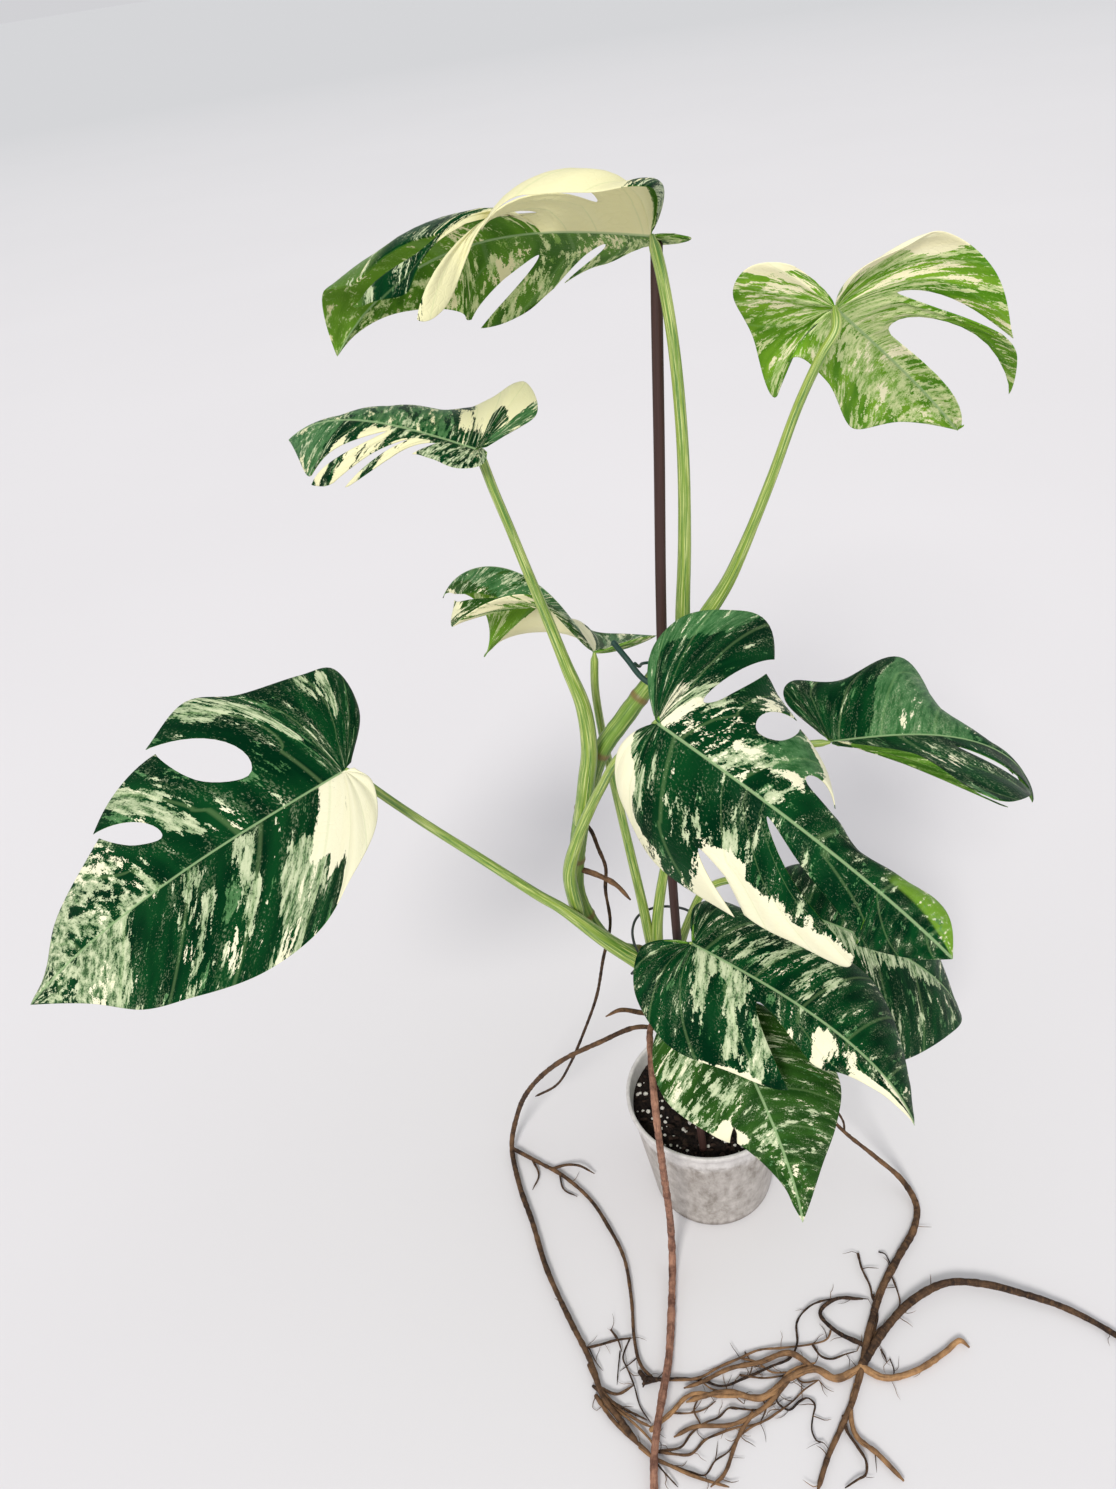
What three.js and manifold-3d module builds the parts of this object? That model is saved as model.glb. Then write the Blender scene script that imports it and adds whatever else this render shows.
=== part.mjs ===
// A potted variegated monstera tied to a slim stake, with long aerial roots that trail on the floor.
// Millimetres, +Z up. The origin is the centre of the pot's underside, and +Y points away from the viewer.
import * as THREE from 'three';
import { mergeVertices } from 'three/addons/utils/BufferGeometryUtils.js';
import Module from 'manifold-3d';

const wasm = await Module();
wasm.setup();

// Driving dimensions
const POT_HEIGHT = 108;
const POT_RIM_RADIUS = 60;
const POT_FOOT_RADIUS = 45.5;
const POT_WALL = 1.2;
const POT_LIP = 4;
const POT_SIDES = 40;
const SOIL_HEIGHT = 95;
const CLEARANCE = 0.3;
const BLADE = 0.9;
const MIDRIB = 1.6;
const STAKE_RADIUS = 2.8;
const TIE_RADIUS = 0.9;
const RING_HEIGHT = 0.5;

// Leaf model
const SPINE_STEPS = 40;
const RIB_STEPS = 14;
const SLANT = 0.62;
const RIB_CURVE = 0.12;
const CORNER = 0.1;
const SPINE_STATIONS = 10;
const FOLD_WIDTH = 6;
const SEAT = 1.4;

// Each leaf: where its petiole ends, where its tip is, roll about that line and how far the spine bends.
// Each half: rim points as distance along the midrib and out from it, then how far the blade
// lifts at the midrib and curls on the way to the rim, in degrees from the base to the tip.
// Each cut: place on the rim scale and share of the width where it starts, place where it opens,
// half width, and how open its mouth is.
const LEAVES = {
  leaf_low_left: {
    base: [-187, -15, 456], tip: [-383, -68, 368], roll: -20, droop: 29,
    left: {
      rim: [[-4, 2], [-9, 19], [0, 50], [21, 76], [45, 90], [81, 85], [122, 70], [154, 55], [186, 28], [224, 0]],
      lift: [2, 20, 9, 0], curl: [5, -8, -22, -26], cuts: [],
    },
    right: {
      rim: [[-4, 4], [-22, 34], [-22, 68], [-2, 74], [34, 83], [64, 100], [96, 88], [130, 72], [157, 51],
        [191, 31], [208, 8], [224, 0]],
      lift: [12, 16, 11, 1], curl: [-38, -25, -25, -24],
      cuts: [[0.535, 0.28, 0.55, 0.034, 0.1], [0.66, 0.34, 0.69, 0.02, 0.15]],
    },
  },
  leaf_middle_front: {
    base: [-20, -60, 488], tip: [100, -160, 396], roll: 29, droop: 35,
    left: {
      rim: [[-1, 4], [-23, 25], [-22, 50], [-5, 68], [14, 86], [42, 70], [90, 52], [119, 24], [150, 27],
        [170, 20], [185, 0]],
      lift: [30, 38, 10, -11, 5], curl: [-29, -42, -75, -85, -26],
      cuts: [[0.5, 0.3, 0.45, 0.025, 0.5], [0.555, 0.42, 0.54, 0.02, 0.4], [0.62, 0.45, 0.66, 0.03, 0.5]],
    },
    right: {
      rim: [[-4, 4], [-13, 28], [5, 56], [48, 73], [98, 63], [126, 52], [157, 41], [152, 30], [160, 22],
        [172, 12], [185, 0]],
      lift: [-10, -24, -12, -14, 0], curl: [-40, -53, -51, -34, -20],
      cuts: [[0.36, 0.55, 0.41, 0.014, 0.6], [0.43, 0.07, 0.69, 0.032, 0.5]],
    },
  },
  leaf_middle_right: {
    base: [90, 10, 404], tip: [220, 7, 335], roll: 0, droop: 80,
    left: {
      rim: [[-2, 3], [-21, 32], [-13, 50], [22, 46], [68, 70], [94, 56], [118, 24], [140, 11], [153, 5], [162, 0]],
      lift: [42, 47, 14, -2], curl: [-48, -56, -84, -75], cuts: [[0.72, 0.62, 0.8, 0.02, 0.6]],
    },
    right: {
      rim: [[0, 5], [8, 18], [22, 38], [34, 60], [52, 74], [80, 74], [108, 46], [136, 16], [162, 0]],
      lift: [26, 28, 10, -5], curl: [-8, -8, -22, -22], cuts: [[0.42, 0.28, 0.62, 0.032, 0.1], [0.72, 0.2, 0.84, 0.02, 0.3]],
    },
  },
  leaf_top_right: {
    base: [85, 0, 659], tip: [175, 66, 563], roll: -42, droop: 16,
    left: {
      rim: [[-4, 2], [-29, 4], [-40, 20], [-29, 36], [5, 44], [27, 51], [-3, 30], [30, 27], [80, 36], [115, 18], [148, 0]],
      lift: [24, 25, -14, 5], curl: [-1, -9, -43, -16], cuts: [[0.62, 0.34, 0.55, 0.03, 0.9]],
    },
    right: {
      rim: [[-5, 4], [-15, 21], [-10, 39], [-4, 55], [27, 65], [60, 61], [85, 56], [126, 35], [148, 0]],
      lift: [9, 18, 1, -8], curl: [-21, -33, -46, -34],
      cuts: [[0.56, 0.34, 0.655, 0.028, 0.3], [0.72, 0.12, 0.915, 0.16, 0.4]],
    },
  },
  leaf_top_left: {
    base: [4, 0, 701], tip: [-151, 70, 652], roll: 36, droop: 71,
    left: {
      rim: [[-4, 6], [-15, 30], [-21, 54], [4, 52], [25, 64], [58, 60], [88, 50], [106, 80], [112, 76],
        [145, 62], [163, 35], [190, 0]],
      lift: [41, 46, 52, 19, 18, 16], curl: [-44, -89, -116, -134, -108, -5],
      cuts: [[0.45, 0.2, 0.5, 0.03, 0.9], [0.52, 0.2, 0.68, 0.03, 0.6], [0.66, 0.6, 0.84, 0.02, 0.7]],
    },
    right: {
      rim: [[0, 6], [-12, 14], [16, 24], [55, 54], [99, 69], [125, 44], [124, 29], [151, 14], [174, 5], [190, 0]],
      lift: [17, 7, -20, 15], curl: [2, -9, -32, -8],
      cuts: [[0.35, 0.32, 0.41, 0.02, 0.6], [0.46, 0.29, 0.55, 0.02, 0.8]],
    },
  },
  leaf_upper_left: {
    base: [-86, 0, 618], tip: [-189, 82, 609], roll: -9, droop: 45,
    left: {
      rim: [[-9, 6], [-12, 12], [2, 15], [20, 13], [38, 14], [72, 34], [96, 34], [108, 28], [135, 0]],
      lift: [40, 14, -10, -18], curl: [-26, -49, -51, -34],
      cuts: [[0.43, 0.3, 0.5, 0.035, 0.9], [0.53, 0.3, 0.65, 0.03, 0.8], [0.62, 0.1, 0.82, 0.03, 0.6]],
    },
    right: {
      rim: [[-4, 2], [-16, 29], [8, 56], [20, 42], [41, 40], [80, 35], [109, 16], [135, 0]],
      lift: [35, 25, 7, -9], curl: [-31, -43, -53, -27], cuts: [],
    },
  },
  leaf_small_left: {
    base: [-42, 20, 484], tip: [-123, 64, 510], roll: 20, droop: 122,
    left: {
      rim: [[2, 2], [9, 14], [28, 33], [44, 42], [58, 46], [74, 50], [94, 36], [106, 14], [116, 0]],
      lift: [24, 20, -22, -20], curl: [-27, -22, -40, -20], cuts: [[0.67, 0.45, 0.85, 0.02, 0.6]],
    },
    right: {
      rim: [[-4, 4], [-14, 40], [2, 58], [24, 62], [49, 59], [79, 54], [97, 38], [110, 19], [116, 0]],
      lift: [72, -8, -64, -12], curl: [-20, -18, -32, -21], cuts: [],
    },
  },
  leaf_low_front: {
    base: [-11, -60, 327], tip: [102, -134, 226], roll: 2, droop: 55,
    left: {
      rim: [[0, 4], [-9, 31], [12, 60], [59, 64], [98, 60], [128, 44], [156, 21], [175, 0]],
      lift: [24, 14, 18, 3], curl: [-41, -65, -53, -28], cuts: [],
    },
    right: {
      rim: [[-2, 2], [-25, 14], [-16, 42], [17, 58], [59, 52], [98, 43], [112, 20], [136, 9], [158, 4], [175, 0]],
      lift: [3, -9, -19, 4], curl: [-20, -52, -51, -17], cuts: [[0.49, 0.19, 0.61, 0.05, 0.9]],
    },
  },
  leaf_low_right: {
    base: [51, -13, 300], tip: [186, -4, 151], roll: 15, droop: 40,
    left: {
      rim: [[1, 4], [4, 26], [40, 52], [87, 58], [134, 56], [174, 34], [203, 0]],
      lift: [25, 20, 23, 0], curl: [-26, -50, -39, -20], cuts: [],
    },
    right: {
      rim: [[0, 3], [1, 36], [35, 68], [87, 72], [134, 62], [178, 25], [203, 0]],
      lift: [-7, -1, -6, 10], curl: [-27, -43, -36, -12], cuts: [],
    },
  },
  leaf_lowest: {
    base: [0, -65, 280], tip: [29, -160, 187], roll: -5, droop: 42,
    left: {
      rim: [[1, 5], [18, 33], [52, 51], [75, 53], [95, 40], [113, 22], [131, 7], [139, 0]],
      lift: [10, 20, 12, 0], curl: [-39, -49, -38, -20], cuts: [],
    },
    right: {
      rim: [[0, 3], [-5, 29], [11, 49], [45, 54], [78, 37], [94, 22], [114, 7], [128, 3], [139, 0]],
      lift: [-12, -13, -23, 0], curl: [-31, -43, -53, -20], cuts: [[0.53, 0.62, 0.57, 0.012, 0.9]],
    },
  },
};

// Stems and roots: points of the centre line, then radii spread evenly along it
const STEM = {
  points: [[-14, -8, 70], [-16, -9, 130], [-26, -6, 200], [-33, 0, 256], [-50, 2, 266], [-62, 4, 281],
    [-72, 6, 318], [-68, 6, 354], [-60, 6, 388], [-46, 6, 426], [-30, 8, 446], [-13, 10, 466], [2, 10, 484],
    [9, 8, 494]],
  radii: [7, 7, 6.5, 5.5, 5.2, 5, 5.5, 5.5, 4.2], sides: 10, steps: 18,
  rings: [0.1, 0.2, 0.3, 0.42, 0.53, 0.635, 0.72, 0.81, 0.9],
};
const PETIOLES = {
  petiole_low_left: {
    points: [[-39, -13, 268], [-59, -13, 292], [-84, -14, 327], [-95, -14, 339], [-126, -15, 378],
      [-150, -16, 408], [-168, -16, 431], [-179, -16, 446], [-187, -15, 456]],
    radii: [6, 4.8, 3.4, 3, 2.7, 2.5, 2.6],
  },
  petiole_middle_front: {
    points: [[-74, -4, 312], [-75, -9, 350], [-67, -14, 380], [-57, -20, 407], [-49, -29, 429], [-40, -40, 453],
      [-30, -50, 470], [-20.5, -54, 479], [-20, -60, 488]],
    radii: [4.5, 4.2, 3.4, 2.8, 2.4, 2.4],
  },
  petiole_middle_right: {
    points: [[-20, 4, 205], [-24, 12, 258], [-15, 17, 313], [-3, 19, 352], [16, 19, 382], [42, 17, 398],
      [70, 13, 403], [90, 10, 404]],
    radii: [5, 4, 3.2, 2.6, 2.3, 2.3],
  },
  petiole_top_right: {
    points: [[9, 6, 490], [20, 5, 507], [31, 4, 524], [40, 2, 544], [54, -2, 581], [67, -6, 619], [77, -8, 641],
      [84, -6, 651], [85, 0, 659]],
    radii: [5, 3.8, 2.8, 2.5, 2.3, 2.5],
  },
  petiole_top_left: {
    points: [[6, 3, 491], [6, -1, 512], [9, -4, 556], [11, -4, 604], [10, -3, 652], [7, -1, 684], [4, 0, 701]],
    radii: [4.4, 3.6, 3.2, 2.9, 2.7, 2.7],
  },
  petiole_upper_left: {
    points: [[-63, -3, 384], [-57, -5, 415], [-53, -6, 437], [-53, -5, 466], [-59, -3, 493], [-65, 0, 520],
      [-71, 0, 547], [-77, 0, 575], [-82, 0, 597], [-86, 0, 618]],
    radii: [5, 5, 4.4, 3.2, 2.7, 2.4, 2.4],
  },
  petiole_small_left: {
    points: [[-22, 4, 196], [-28, 14, 250], [-31, 17, 290], [-35, 19, 335], [-39, 20, 380], [-43, 21, 427],
      [-44, 21, 460], [-42, 20, 484]],
    radii: [4.5, 3.8, 3.2, 2.9, 2.6, 2.4, 2.3],
  },
  petiole_low_right: {
    points: [[-17, -4, 190], [-12, 5, 245], [-2, 6, 280], [10, 5, 305], [27, -1, 315], [41, -8, 310], [51, -13, 300]],
    radii: [4.5, 3.6, 2.8, 2.4, 2.3],
  },
  petiole_low_front: {
    points: [[-23, -14, 185], [-22, -26, 240], [-18, -40, 285], [-14, -52, 312], [-11, -60, 327]],
    radii: [4.5, 3.6, 2.8, 2.5, 2.4],
  },
  petiole_lowest: {
    points: [[-14, -15, 130], [-9, -26, 175], [-5, -42, 225], [-2, -56, 260], [0, -65, 280]],
    radii: [4.5, 3.4, 2.6, 2.3, 2.2],
  },
};
const STAKE = {
  points: [[-10, -43, 60], [-14, -34, 200], [-15, -27, 305], [-12, -19, 429], [-6, -9, 526], [0, -1, 604],
    [5, 6, 673], [7, 9, 695]],
  radii: [STAKE_RADIUS, STAKE_RADIUS], sides: 8, steps: 8,
};

// Aerial roots: a main strand, with branches that are fused to it
const ROOTS = {
  root_front: {
    strands: [
      {
        points: [[-30, -10, 208], [-38, -26, 216], [-41, -46, 216], [-43, -64, 204], [-44, -75, 180], [-44, -79, 140],
          [-43, -76, 80], [-43, -66, 30], [-45, -74, 9], [-50, -98, 4], [-59, -138, 4], [-66, -160, 9],
          [-74, -184, 12], [-79, -200, 8], [-82, -217, 4], [-83, -236, 4]],
        radii: [2.4, 3, 3, 3.2, 3.3, 3.2, 2.9], steps: 26,
      },
    ],
  },
  root_left: {
    strands: [
      {
        points: [[-25, -5, 185], [-44, 0, 188], [-74, 8, 168], [-105, 22, 136], [-131, 38, 92], [-150, 56, 34],
          [-159, 48, 6], [-155, 12, 3.5], [-147, -21, 3.5], [-139, -60, 3.5], [-125, -102, 3.5], [-114, -131, 3.5],
          [-108, -156, 3.5], [-97, -175, 3.5], [-88, -190, 3.5]],
        radii: [2.4, 2.7, 2.8, 3, 2.9, 3], steps: 26,
      },
      {
        points: [[-158, 46, 4.5], [-137, 30, 3], [-120, 16, 3], [-100, -9, 3], [-89, -33, 3], [-80, -61, 3],
          [-79, -93, 3], [-81, -122, 3], [-79, -140, 3], [-70, -152, 2.5]],
        radii: [2.4, 2.2, 2, 1.8, 1.6], steps: 13,
      },
      { points: [[-128, 23, 3], [-116, 24, 4], [-105, 20, 6], [-94, 13, 3]], radii: [1.7, 1.5, 1.2], steps: 5 },
      { points: [[-143, 34, 3], [-139, 20, 2], [-145, 8, 1.8]], radii: [1.4, 1, 0.9], steps: 4 },
      { points: [[-122, 18, 3], [-120, 4, 2], [-110, -4, 1.8]], radii: [1.4, 1, 0.9], steps: 4 },
      { points: [[-110, -150, 3], [-98, -156, 2.5], [-86, -152, 2.4]], radii: [1.8, 1.5, 1.2], steps: 5 },
    ],
  },
  root_right: {
    strands: [
      {
        points: [[40, 10, 84], [48, 8, 104], [59, 2, 117], [71, -6, 108], [82, -12, 84], [98, -19, 58],
          [122, -26, 28], [140, -38, 10], [145, -55, 3.5], [137, -73, 3.5], [120, -91, 3.5],
          [99, -114, 3.5], [82, -140, 3.5], [70, -162, 3.5], [57, -183, 3], [43, -200, 2.6], [32, -213, 2.4],
          [20, -231, 2.4]],
        radii: [1.8, 1.6, 1.6, 2, 3, 3.3, 3, 2.4, 2], steps: 28,
      },
      {
        points: [[80, -11, 88], [90, -9, 81], [97, -8, 66], [102, -8, 52], [104, -8, 38], [108, -8, 34]],
        radii: [1.3, 1.1, 0.9], sides: 5, steps: 6,
      },
      {
        points: [[70, -162, 3.5], [92, -142, 4.5], [117, -126, 6], [145, -118, 7], [170, -123, 7], [191, -132, 6],
          [214, -144, 4.5], [230, -156, 3.5], [246, -172, 3]],
        radii: [3.3, 3.4, 3, 2.6, 2.2], steps: 10,
      },
      {
        points: [[69, -163, 3.5], [82, -172, 3], [103, -171, 3], [127, -162, 3], [140, -156, 3], [144, -161, 3]],
        radii: [3, 2.6, 2.4, 2.4, 1.8], steps: 7,
      },
      {
        points: [[62, -174, 3], [54, -188, 2.6], [53, -204, 2.6], [63, -216, 2.6], [74, -233, 2.6]],
        radii: [2.2, 2, 1.8], steps: 8,
      },
      {
        points: [[70, -163, 3.5], [50, -168, 3.5], [38, -160, 3.5], [20, -163, 3.5], [-3, -173, 3.5], [-22, -166, 3.5],
          [-38, -166, 3.5], [-52, -168, 3]],
        radii: [2.8, 3, 2.6, 2.2, 1.8], steps: 11,
      },
      {
        points: [[38, -160, 3.5], [24, -147, 3], [2, -150, 3], [-19, -151, 3], [-40, -157, 3], [-52, -159, 3]],
        radii: [2.4, 2.2, 1.8, 1.5], steps: 8,
      },
      { points: [[76, -150, 3.5], [59, -137, 3], [52, -123, 2.5], [66, -115, 2.5], [84, -118, 2.5]],
        radii: [2, 1.6, 1.3], sides: 5, steps: 7 },
      { points: [[20, -163, 3.5], [0, -178, 3], [-24, -186, 2.8], [-50, -184, 2.8], [-64, -188, 2.6]],
        radii: [2.2, 1.8, 1.5], steps: 7 },
      { points: [[-10, -181, 3], [-24, -196, 2.6], [-36, -214, 2.6], [-46, -220, 2.4]],
        radii: [1.8, 1.5, 1.3], sides: 5, steps: 6 },
    ],
  },
  root_thin: {
    strands: [
      {
        points: [[-64, 7, 378], [-58, 13, 362], [-55, 14, 346], [-52, 13, 330], [-54, 13, 311], [-54, 13, 279], [-62, 13, 247],
          [-70, 15, 210], [-84, 20, 166], [-98, 28, 124], [-113, 46, 78], [-132, 60, 50]],
        radii: [1.6, 1.3, 1.3, 1.2, 1.1], steps: 14,
      },
    ],
  },
  root_short: {
    strands: [{ points: [[-67, 4, 339], [-58, -2, 338], [-48, -4, 330], [-40, -5, 316]], radii: [2.2, 2, 1.6], steps: 6 }],
  },
  root_stub: {
    strands: [{ points: [[-30, -8, 206], [-42, -8, 212], [-56, -9, 219], [-66, -10, 216]], radii: [2.3, 2, 1.3], steps: 6 }],
  },
};

// Ties: a soft clip round the stem and the stake, and a twist of wire lower down
const TIES = {
  tie_upper: {
    points: [[-32, 2, 500], [-26, -2, 491], [-19, -12, 483], [-8, -18, 478], [0, -14, 476], [4, 0, 474], [3, 16, 473],
      [-6, 20, 472], [-15, 18, 474], [-19, 6, 480], [-22, -3, 488]],
    radii: [1.6, 1.6, TIE_RADIUS, TIE_RADIUS], steps: 26,
  },
  tie_lower: {
    points: [[-46, -30, 276], [-40, -29, 281], [-33, -27, 280], [-26, -32, 280], [-16, -37, 280], [-6, -31, 280],
      [0, -12, 280], [0, 12, 279], [-8, 20, 278], [-22, 24, 277], [-34, 20, 276], [-40, 8, 276], [-40, -12, 278],
      [-36, -22, 280]],
    radii: [TIE_RADIUS, TIE_RADIUS], sides: 5, steps: 26,
  },
};

// Small maths helpers
const radians = (degrees) => degrees * Math.PI / 180;
const mix = (a, b, f) => a + (b - a) * f;
const clamp = (x, low, high) => Math.min(high, Math.max(low, x));
const vector = (p) => (p.isVector3 ? p : new THREE.Vector3(p[0], p[1], p[2]));

function splineAt(points, u) {
  // Catmull-Rom through flat points, with u from 0 to 1 spread evenly over them
  const last = points.length - 1;
  const x = clamp(u, 0, 1) * last;
  const i = Math.min(Math.floor(x), last - 1);
  const f = x - i;
  const point = (k) => {
    if (k < 0) return [2 * points[0][0] - points[1][0], 2 * points[0][1] - points[1][1]];
    if (k > last) return [2 * points[last][0] - points[last - 1][0], 2 * points[last][1] - points[last - 1][1]];
    return points[k];
  };
  const [p0, p1, p2, p3] = [point(i - 1), point(i), point(i + 1), point(i + 2)];
  return [0, 1].map((k) => 0.5 * (2 * p1[k] + (p2[k] - p0[k]) * f
    + (2 * p0[k] - 5 * p1[k] + 4 * p2[k] - p3[k]) * f * f
    + (3 * p1[k] - p0[k] - 3 * p2[k] + p3[k]) * f * f * f));
}

function stepsAt(values, q) {
  // Values spread evenly from 0 to 1, eased from one to the next
  const x = clamp(q, 0, 1) * (values.length - 1);
  const i = Math.min(Math.floor(x), values.length - 2);
  const f = x - i;
  return radians(mix(values[i], values[i + 1], f * f * (3 - 2 * f)));
}

// The spine of a leaf: a bent line with a side and an up direction at each step
function leafSpine(leaf) {
  const T = new THREE.Vector3(1, 0, 0);
  const S = new THREE.Vector3(0, 1, 0);
  const N = new THREE.Vector3(0, 0, 1);
  const spine = [{ C: new THREE.Vector3(), T: T.clone(), S: S.clone(), N: N.clone() }];
  for (let i = 0; i < SPINE_STEPS; i += 1) {
    const bend = radians(leaf.droop) * 2 * (i + 0.5) / SPINE_STEPS / SPINE_STEPS;
    T.applyAxisAngle(S, bend);
    N.applyAxisAngle(S, bend);
    const C = spine[i].C.clone().addScaledVector(T, 1 / SPINE_STEPS);
    spine.push({ C, T: T.clone(), S: S.clone(), N: N.clone() });
  }
  const base = vector(leaf.base);
  const reach = vector(leaf.tip).sub(base);
  const ahead = reach.clone().normalize();
  const flat = new THREE.Vector3(0, 0, 1).cross(ahead).normalize();
  const side = flat.applyAxisAngle(ahead, radians(leaf.roll));
  const up = ahead.clone().cross(side);
  const end = spine[SPINE_STEPS].C;
  const along = end.clone().normalize();
  const sideways = new THREE.Vector3(0, 1, 0);
  const from = new THREE.Matrix4().makeBasis(along, sideways, along.clone().cross(sideways)).transpose();
  const turn = new THREE.Matrix4().makeBasis(ahead, side, up).multiply(from);
  const length = reach.length() / end.length();
  for (const station of spine) {
    station.C.multiplyScalar(length).applyMatrix4(turn).add(base);
    for (const key of ['T', 'S', 'N']) station[key].applyMatrix4(turn);
  }
  return { spine, length };
}

function alongSpine(model, s, key) {
  const x = clamp(s / model.length, 0, 1) * SPINE_STEPS;
  const i = Math.min(Math.floor(x), SPINE_STEPS - 1);
  return model.spine[i][key].clone().lerp(model.spine[i + 1][key], x - i);
}

function ribStart(model, rim) {
  const softness = 0.06 * model.length;
  const x = rim[0] - SLANT * Math.abs(rim[1]);
  return clamp(0.5 * (x + Math.hypot(x, softness)), 0, model.length);
}

// A point of the blade: q runs along the rim from the base to the tip, t from the midrib to the rim
function bladePoint(model, half, sign, q, t) {
  const rim = splineAt(half.rim, q);
  const start = ribStart(model, rim);
  const run = [rim[0] - start, rim[1]];
  const bend = [start + run[0] / 2 - run[1] * RIB_CURVE, run[1] / 2 + run[0] * RIB_CURVE];
  const lift = stepsAt(half.lift, q);
  const curl = stepsAt(half.curl, q);
  const T = alongSpine(model, start, 'T');
  const S = alongSpine(model, start, 'S').multiplyScalar(sign);
  const N = alongSpine(model, start, 'N');
  const point = alongSpine(model, start, 'C');
  const at = (u, k) => (k === 0 ? (1 - u) ** 2 * start : 0) + 2 * u * (1 - u) * bend[k] + u * u * rim[k];
  const reach = clamp(t, 0, 1);
  for (let i = 0; i < RIB_STEPS; i += 1) {
    const u0 = reach * i / RIB_STEPS;
    const u1 = reach * (i + 1) / RIB_STEPS;
    const da = at(u1, 0) - at(u0, 0);
    const db = at(u1, 1) - at(u0, 1);
    const slope = lift + curl * (u0 + u1) / 2;
    point.addScaledVector(T, Math.cos(slope) * da);
    point.addScaledVector(S, Math.cos(slope) * db);
    point.addScaledVector(N, Math.sin(slope) * Math.hypot(da, db));
  }
  return point;
}

// Where the edge of a cut runs: q at t, on the side of the cut that sign names
function cutEdge(cut, t, sign) {
  const [inner, start, mouth, halfWidth, open] = cut;
  const x = clamp((t - start) / (1 - start), 0, 1);
  const width = halfWidth * ((1 - open) * Math.sin(Math.PI * x ** 0.7) ** 0.8 + open * Math.sqrt(x));
  return mix(inner, mouth, x) + sign * width;
}

// One half of a blade as columns of points, with the rows nearest the midrib first
function halfColumns(model, half, sign) {
  const bounds = [null, ...half.cuts, null];
  const columns = [];
  for (let k = 0; k + 1 < bounds.length; k += 1) {
    const [back, front] = [bounds[k], bounds[k + 1]];
    const startBack = (back ?? front)?.[1] ?? 0.45;
    const startFront = (front ?? back)?.[1] ?? 0.45;
    const span = (front ? front[2] : 1) - (back ? back[2] : 0);
    const count = Math.max(2, Math.round(span * 13));
    for (let c = 0; c <= count; c += 1) {
      const x = c / count;
      const split = mix(startBack, startFront, x);
      const levels = [split * 0.5, split, mix(split, 1, 0.36), mix(split, 1, 0.7), 1];
      const column = levels.map((t, row) => {
        const low = back ? cutEdge(back, t, 1) : 0;
        const high = front ? cutEdge(front, t, -1) : 1;
        const trim = back && row > 1 ? CORNER * (1 - x) ** 4 : 0;
        return { q: mix(low, high, x), t: t * (1 - trim) };
      });
      columns.push({
        lobe: k,
        points: column.map(({ q, t }) => bladePoint(model, half, sign, q, t)),
        starts: column.map(({ q }) => ribStart(model, splineAt(half.rim, q))),
      });
    }
  }
  return columns;
}

// Triangles of the middle surface of a leaf, as a list of points and a list of index triples
function leafSurface(leaf) {
  const model = leafSpine(leaf);
  const points = [];
  const keys = new Map();
  const triangles = [];
  const index = (p, start, depth = BLADE / 2) => {
    const key = [p.x, p.y, p.z].map((v) => Math.round(v * 1000)).join(',');
    if (!keys.has(key)) {
      const away = p.distanceTo(alongSpine(model, start, 'C'));
      keys.set(key, points.length);
      points.push({ p, depth, up: alongSpine(model, start, 'N'), free: clamp(away / FOLD_WIDTH, 0, 1) });
    }
    return keys.get(key);
  };
  const add = (a, b, c, sign) => {
    if (a === b || b === c || a === c) return;
    triangles.push(sign > 0 ? [a, b, c] : [a, c, b]);
  };
  const chain = [];
  for (let i = 0; i <= SPINE_STATIONS; i += 1) {
    const s = model.length * i / SPINE_STATIONS;
    const depth = BLADE / 2 + MIDRIB * Math.min(1, 2 * i / SPINE_STATIONS) * (1 - i / SPINE_STATIONS);
    chain.push({ id: index(alongSpine(model, s, 'C'), s, depth), s });
  }
  for (const [half, sign] of [[leaf.left, 1], [leaf.right, -1]]) {
    const columns = halfColumns(model, half, sign);
    const grid = columns.map((column) => column.points.map((p, r) => index(p, column.starts[r])));
    for (let c = 0; c + 1 < grid.length; c += 1) {
      const sameLobe = columns[c].lobe === columns[c + 1].lobe;
      for (let r = 0; sameLobe && r + 1 < grid[c].length; r += 1) {
        add(grid[c][r], grid[c + 1][r], grid[c + 1][r + 1], sign);
        add(grid[c][r], grid[c + 1][r + 1], grid[c][r + 1], sign);
      }
    }
    let i = 0;
    let j = 0;
    while (i < SPINE_STATIONS || j + 1 < grid.length) {
      const nextSpine = i < SPINE_STATIONS ? chain[i + 1].s : Infinity;
      const nextRib = j + 1 < grid.length ? columns[j + 1].starts[0] : Infinity;
      if (nextSpine < nextRib) {
        add(chain[i].id, chain[i + 1].id, grid[j][0], sign);
        i += 1;
      } else {
        add(chain[i].id, grid[j + 1][0], grid[j][0], sign);
        j += 1;
      }
    }
  }
  return { points, triangles };
}

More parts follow.
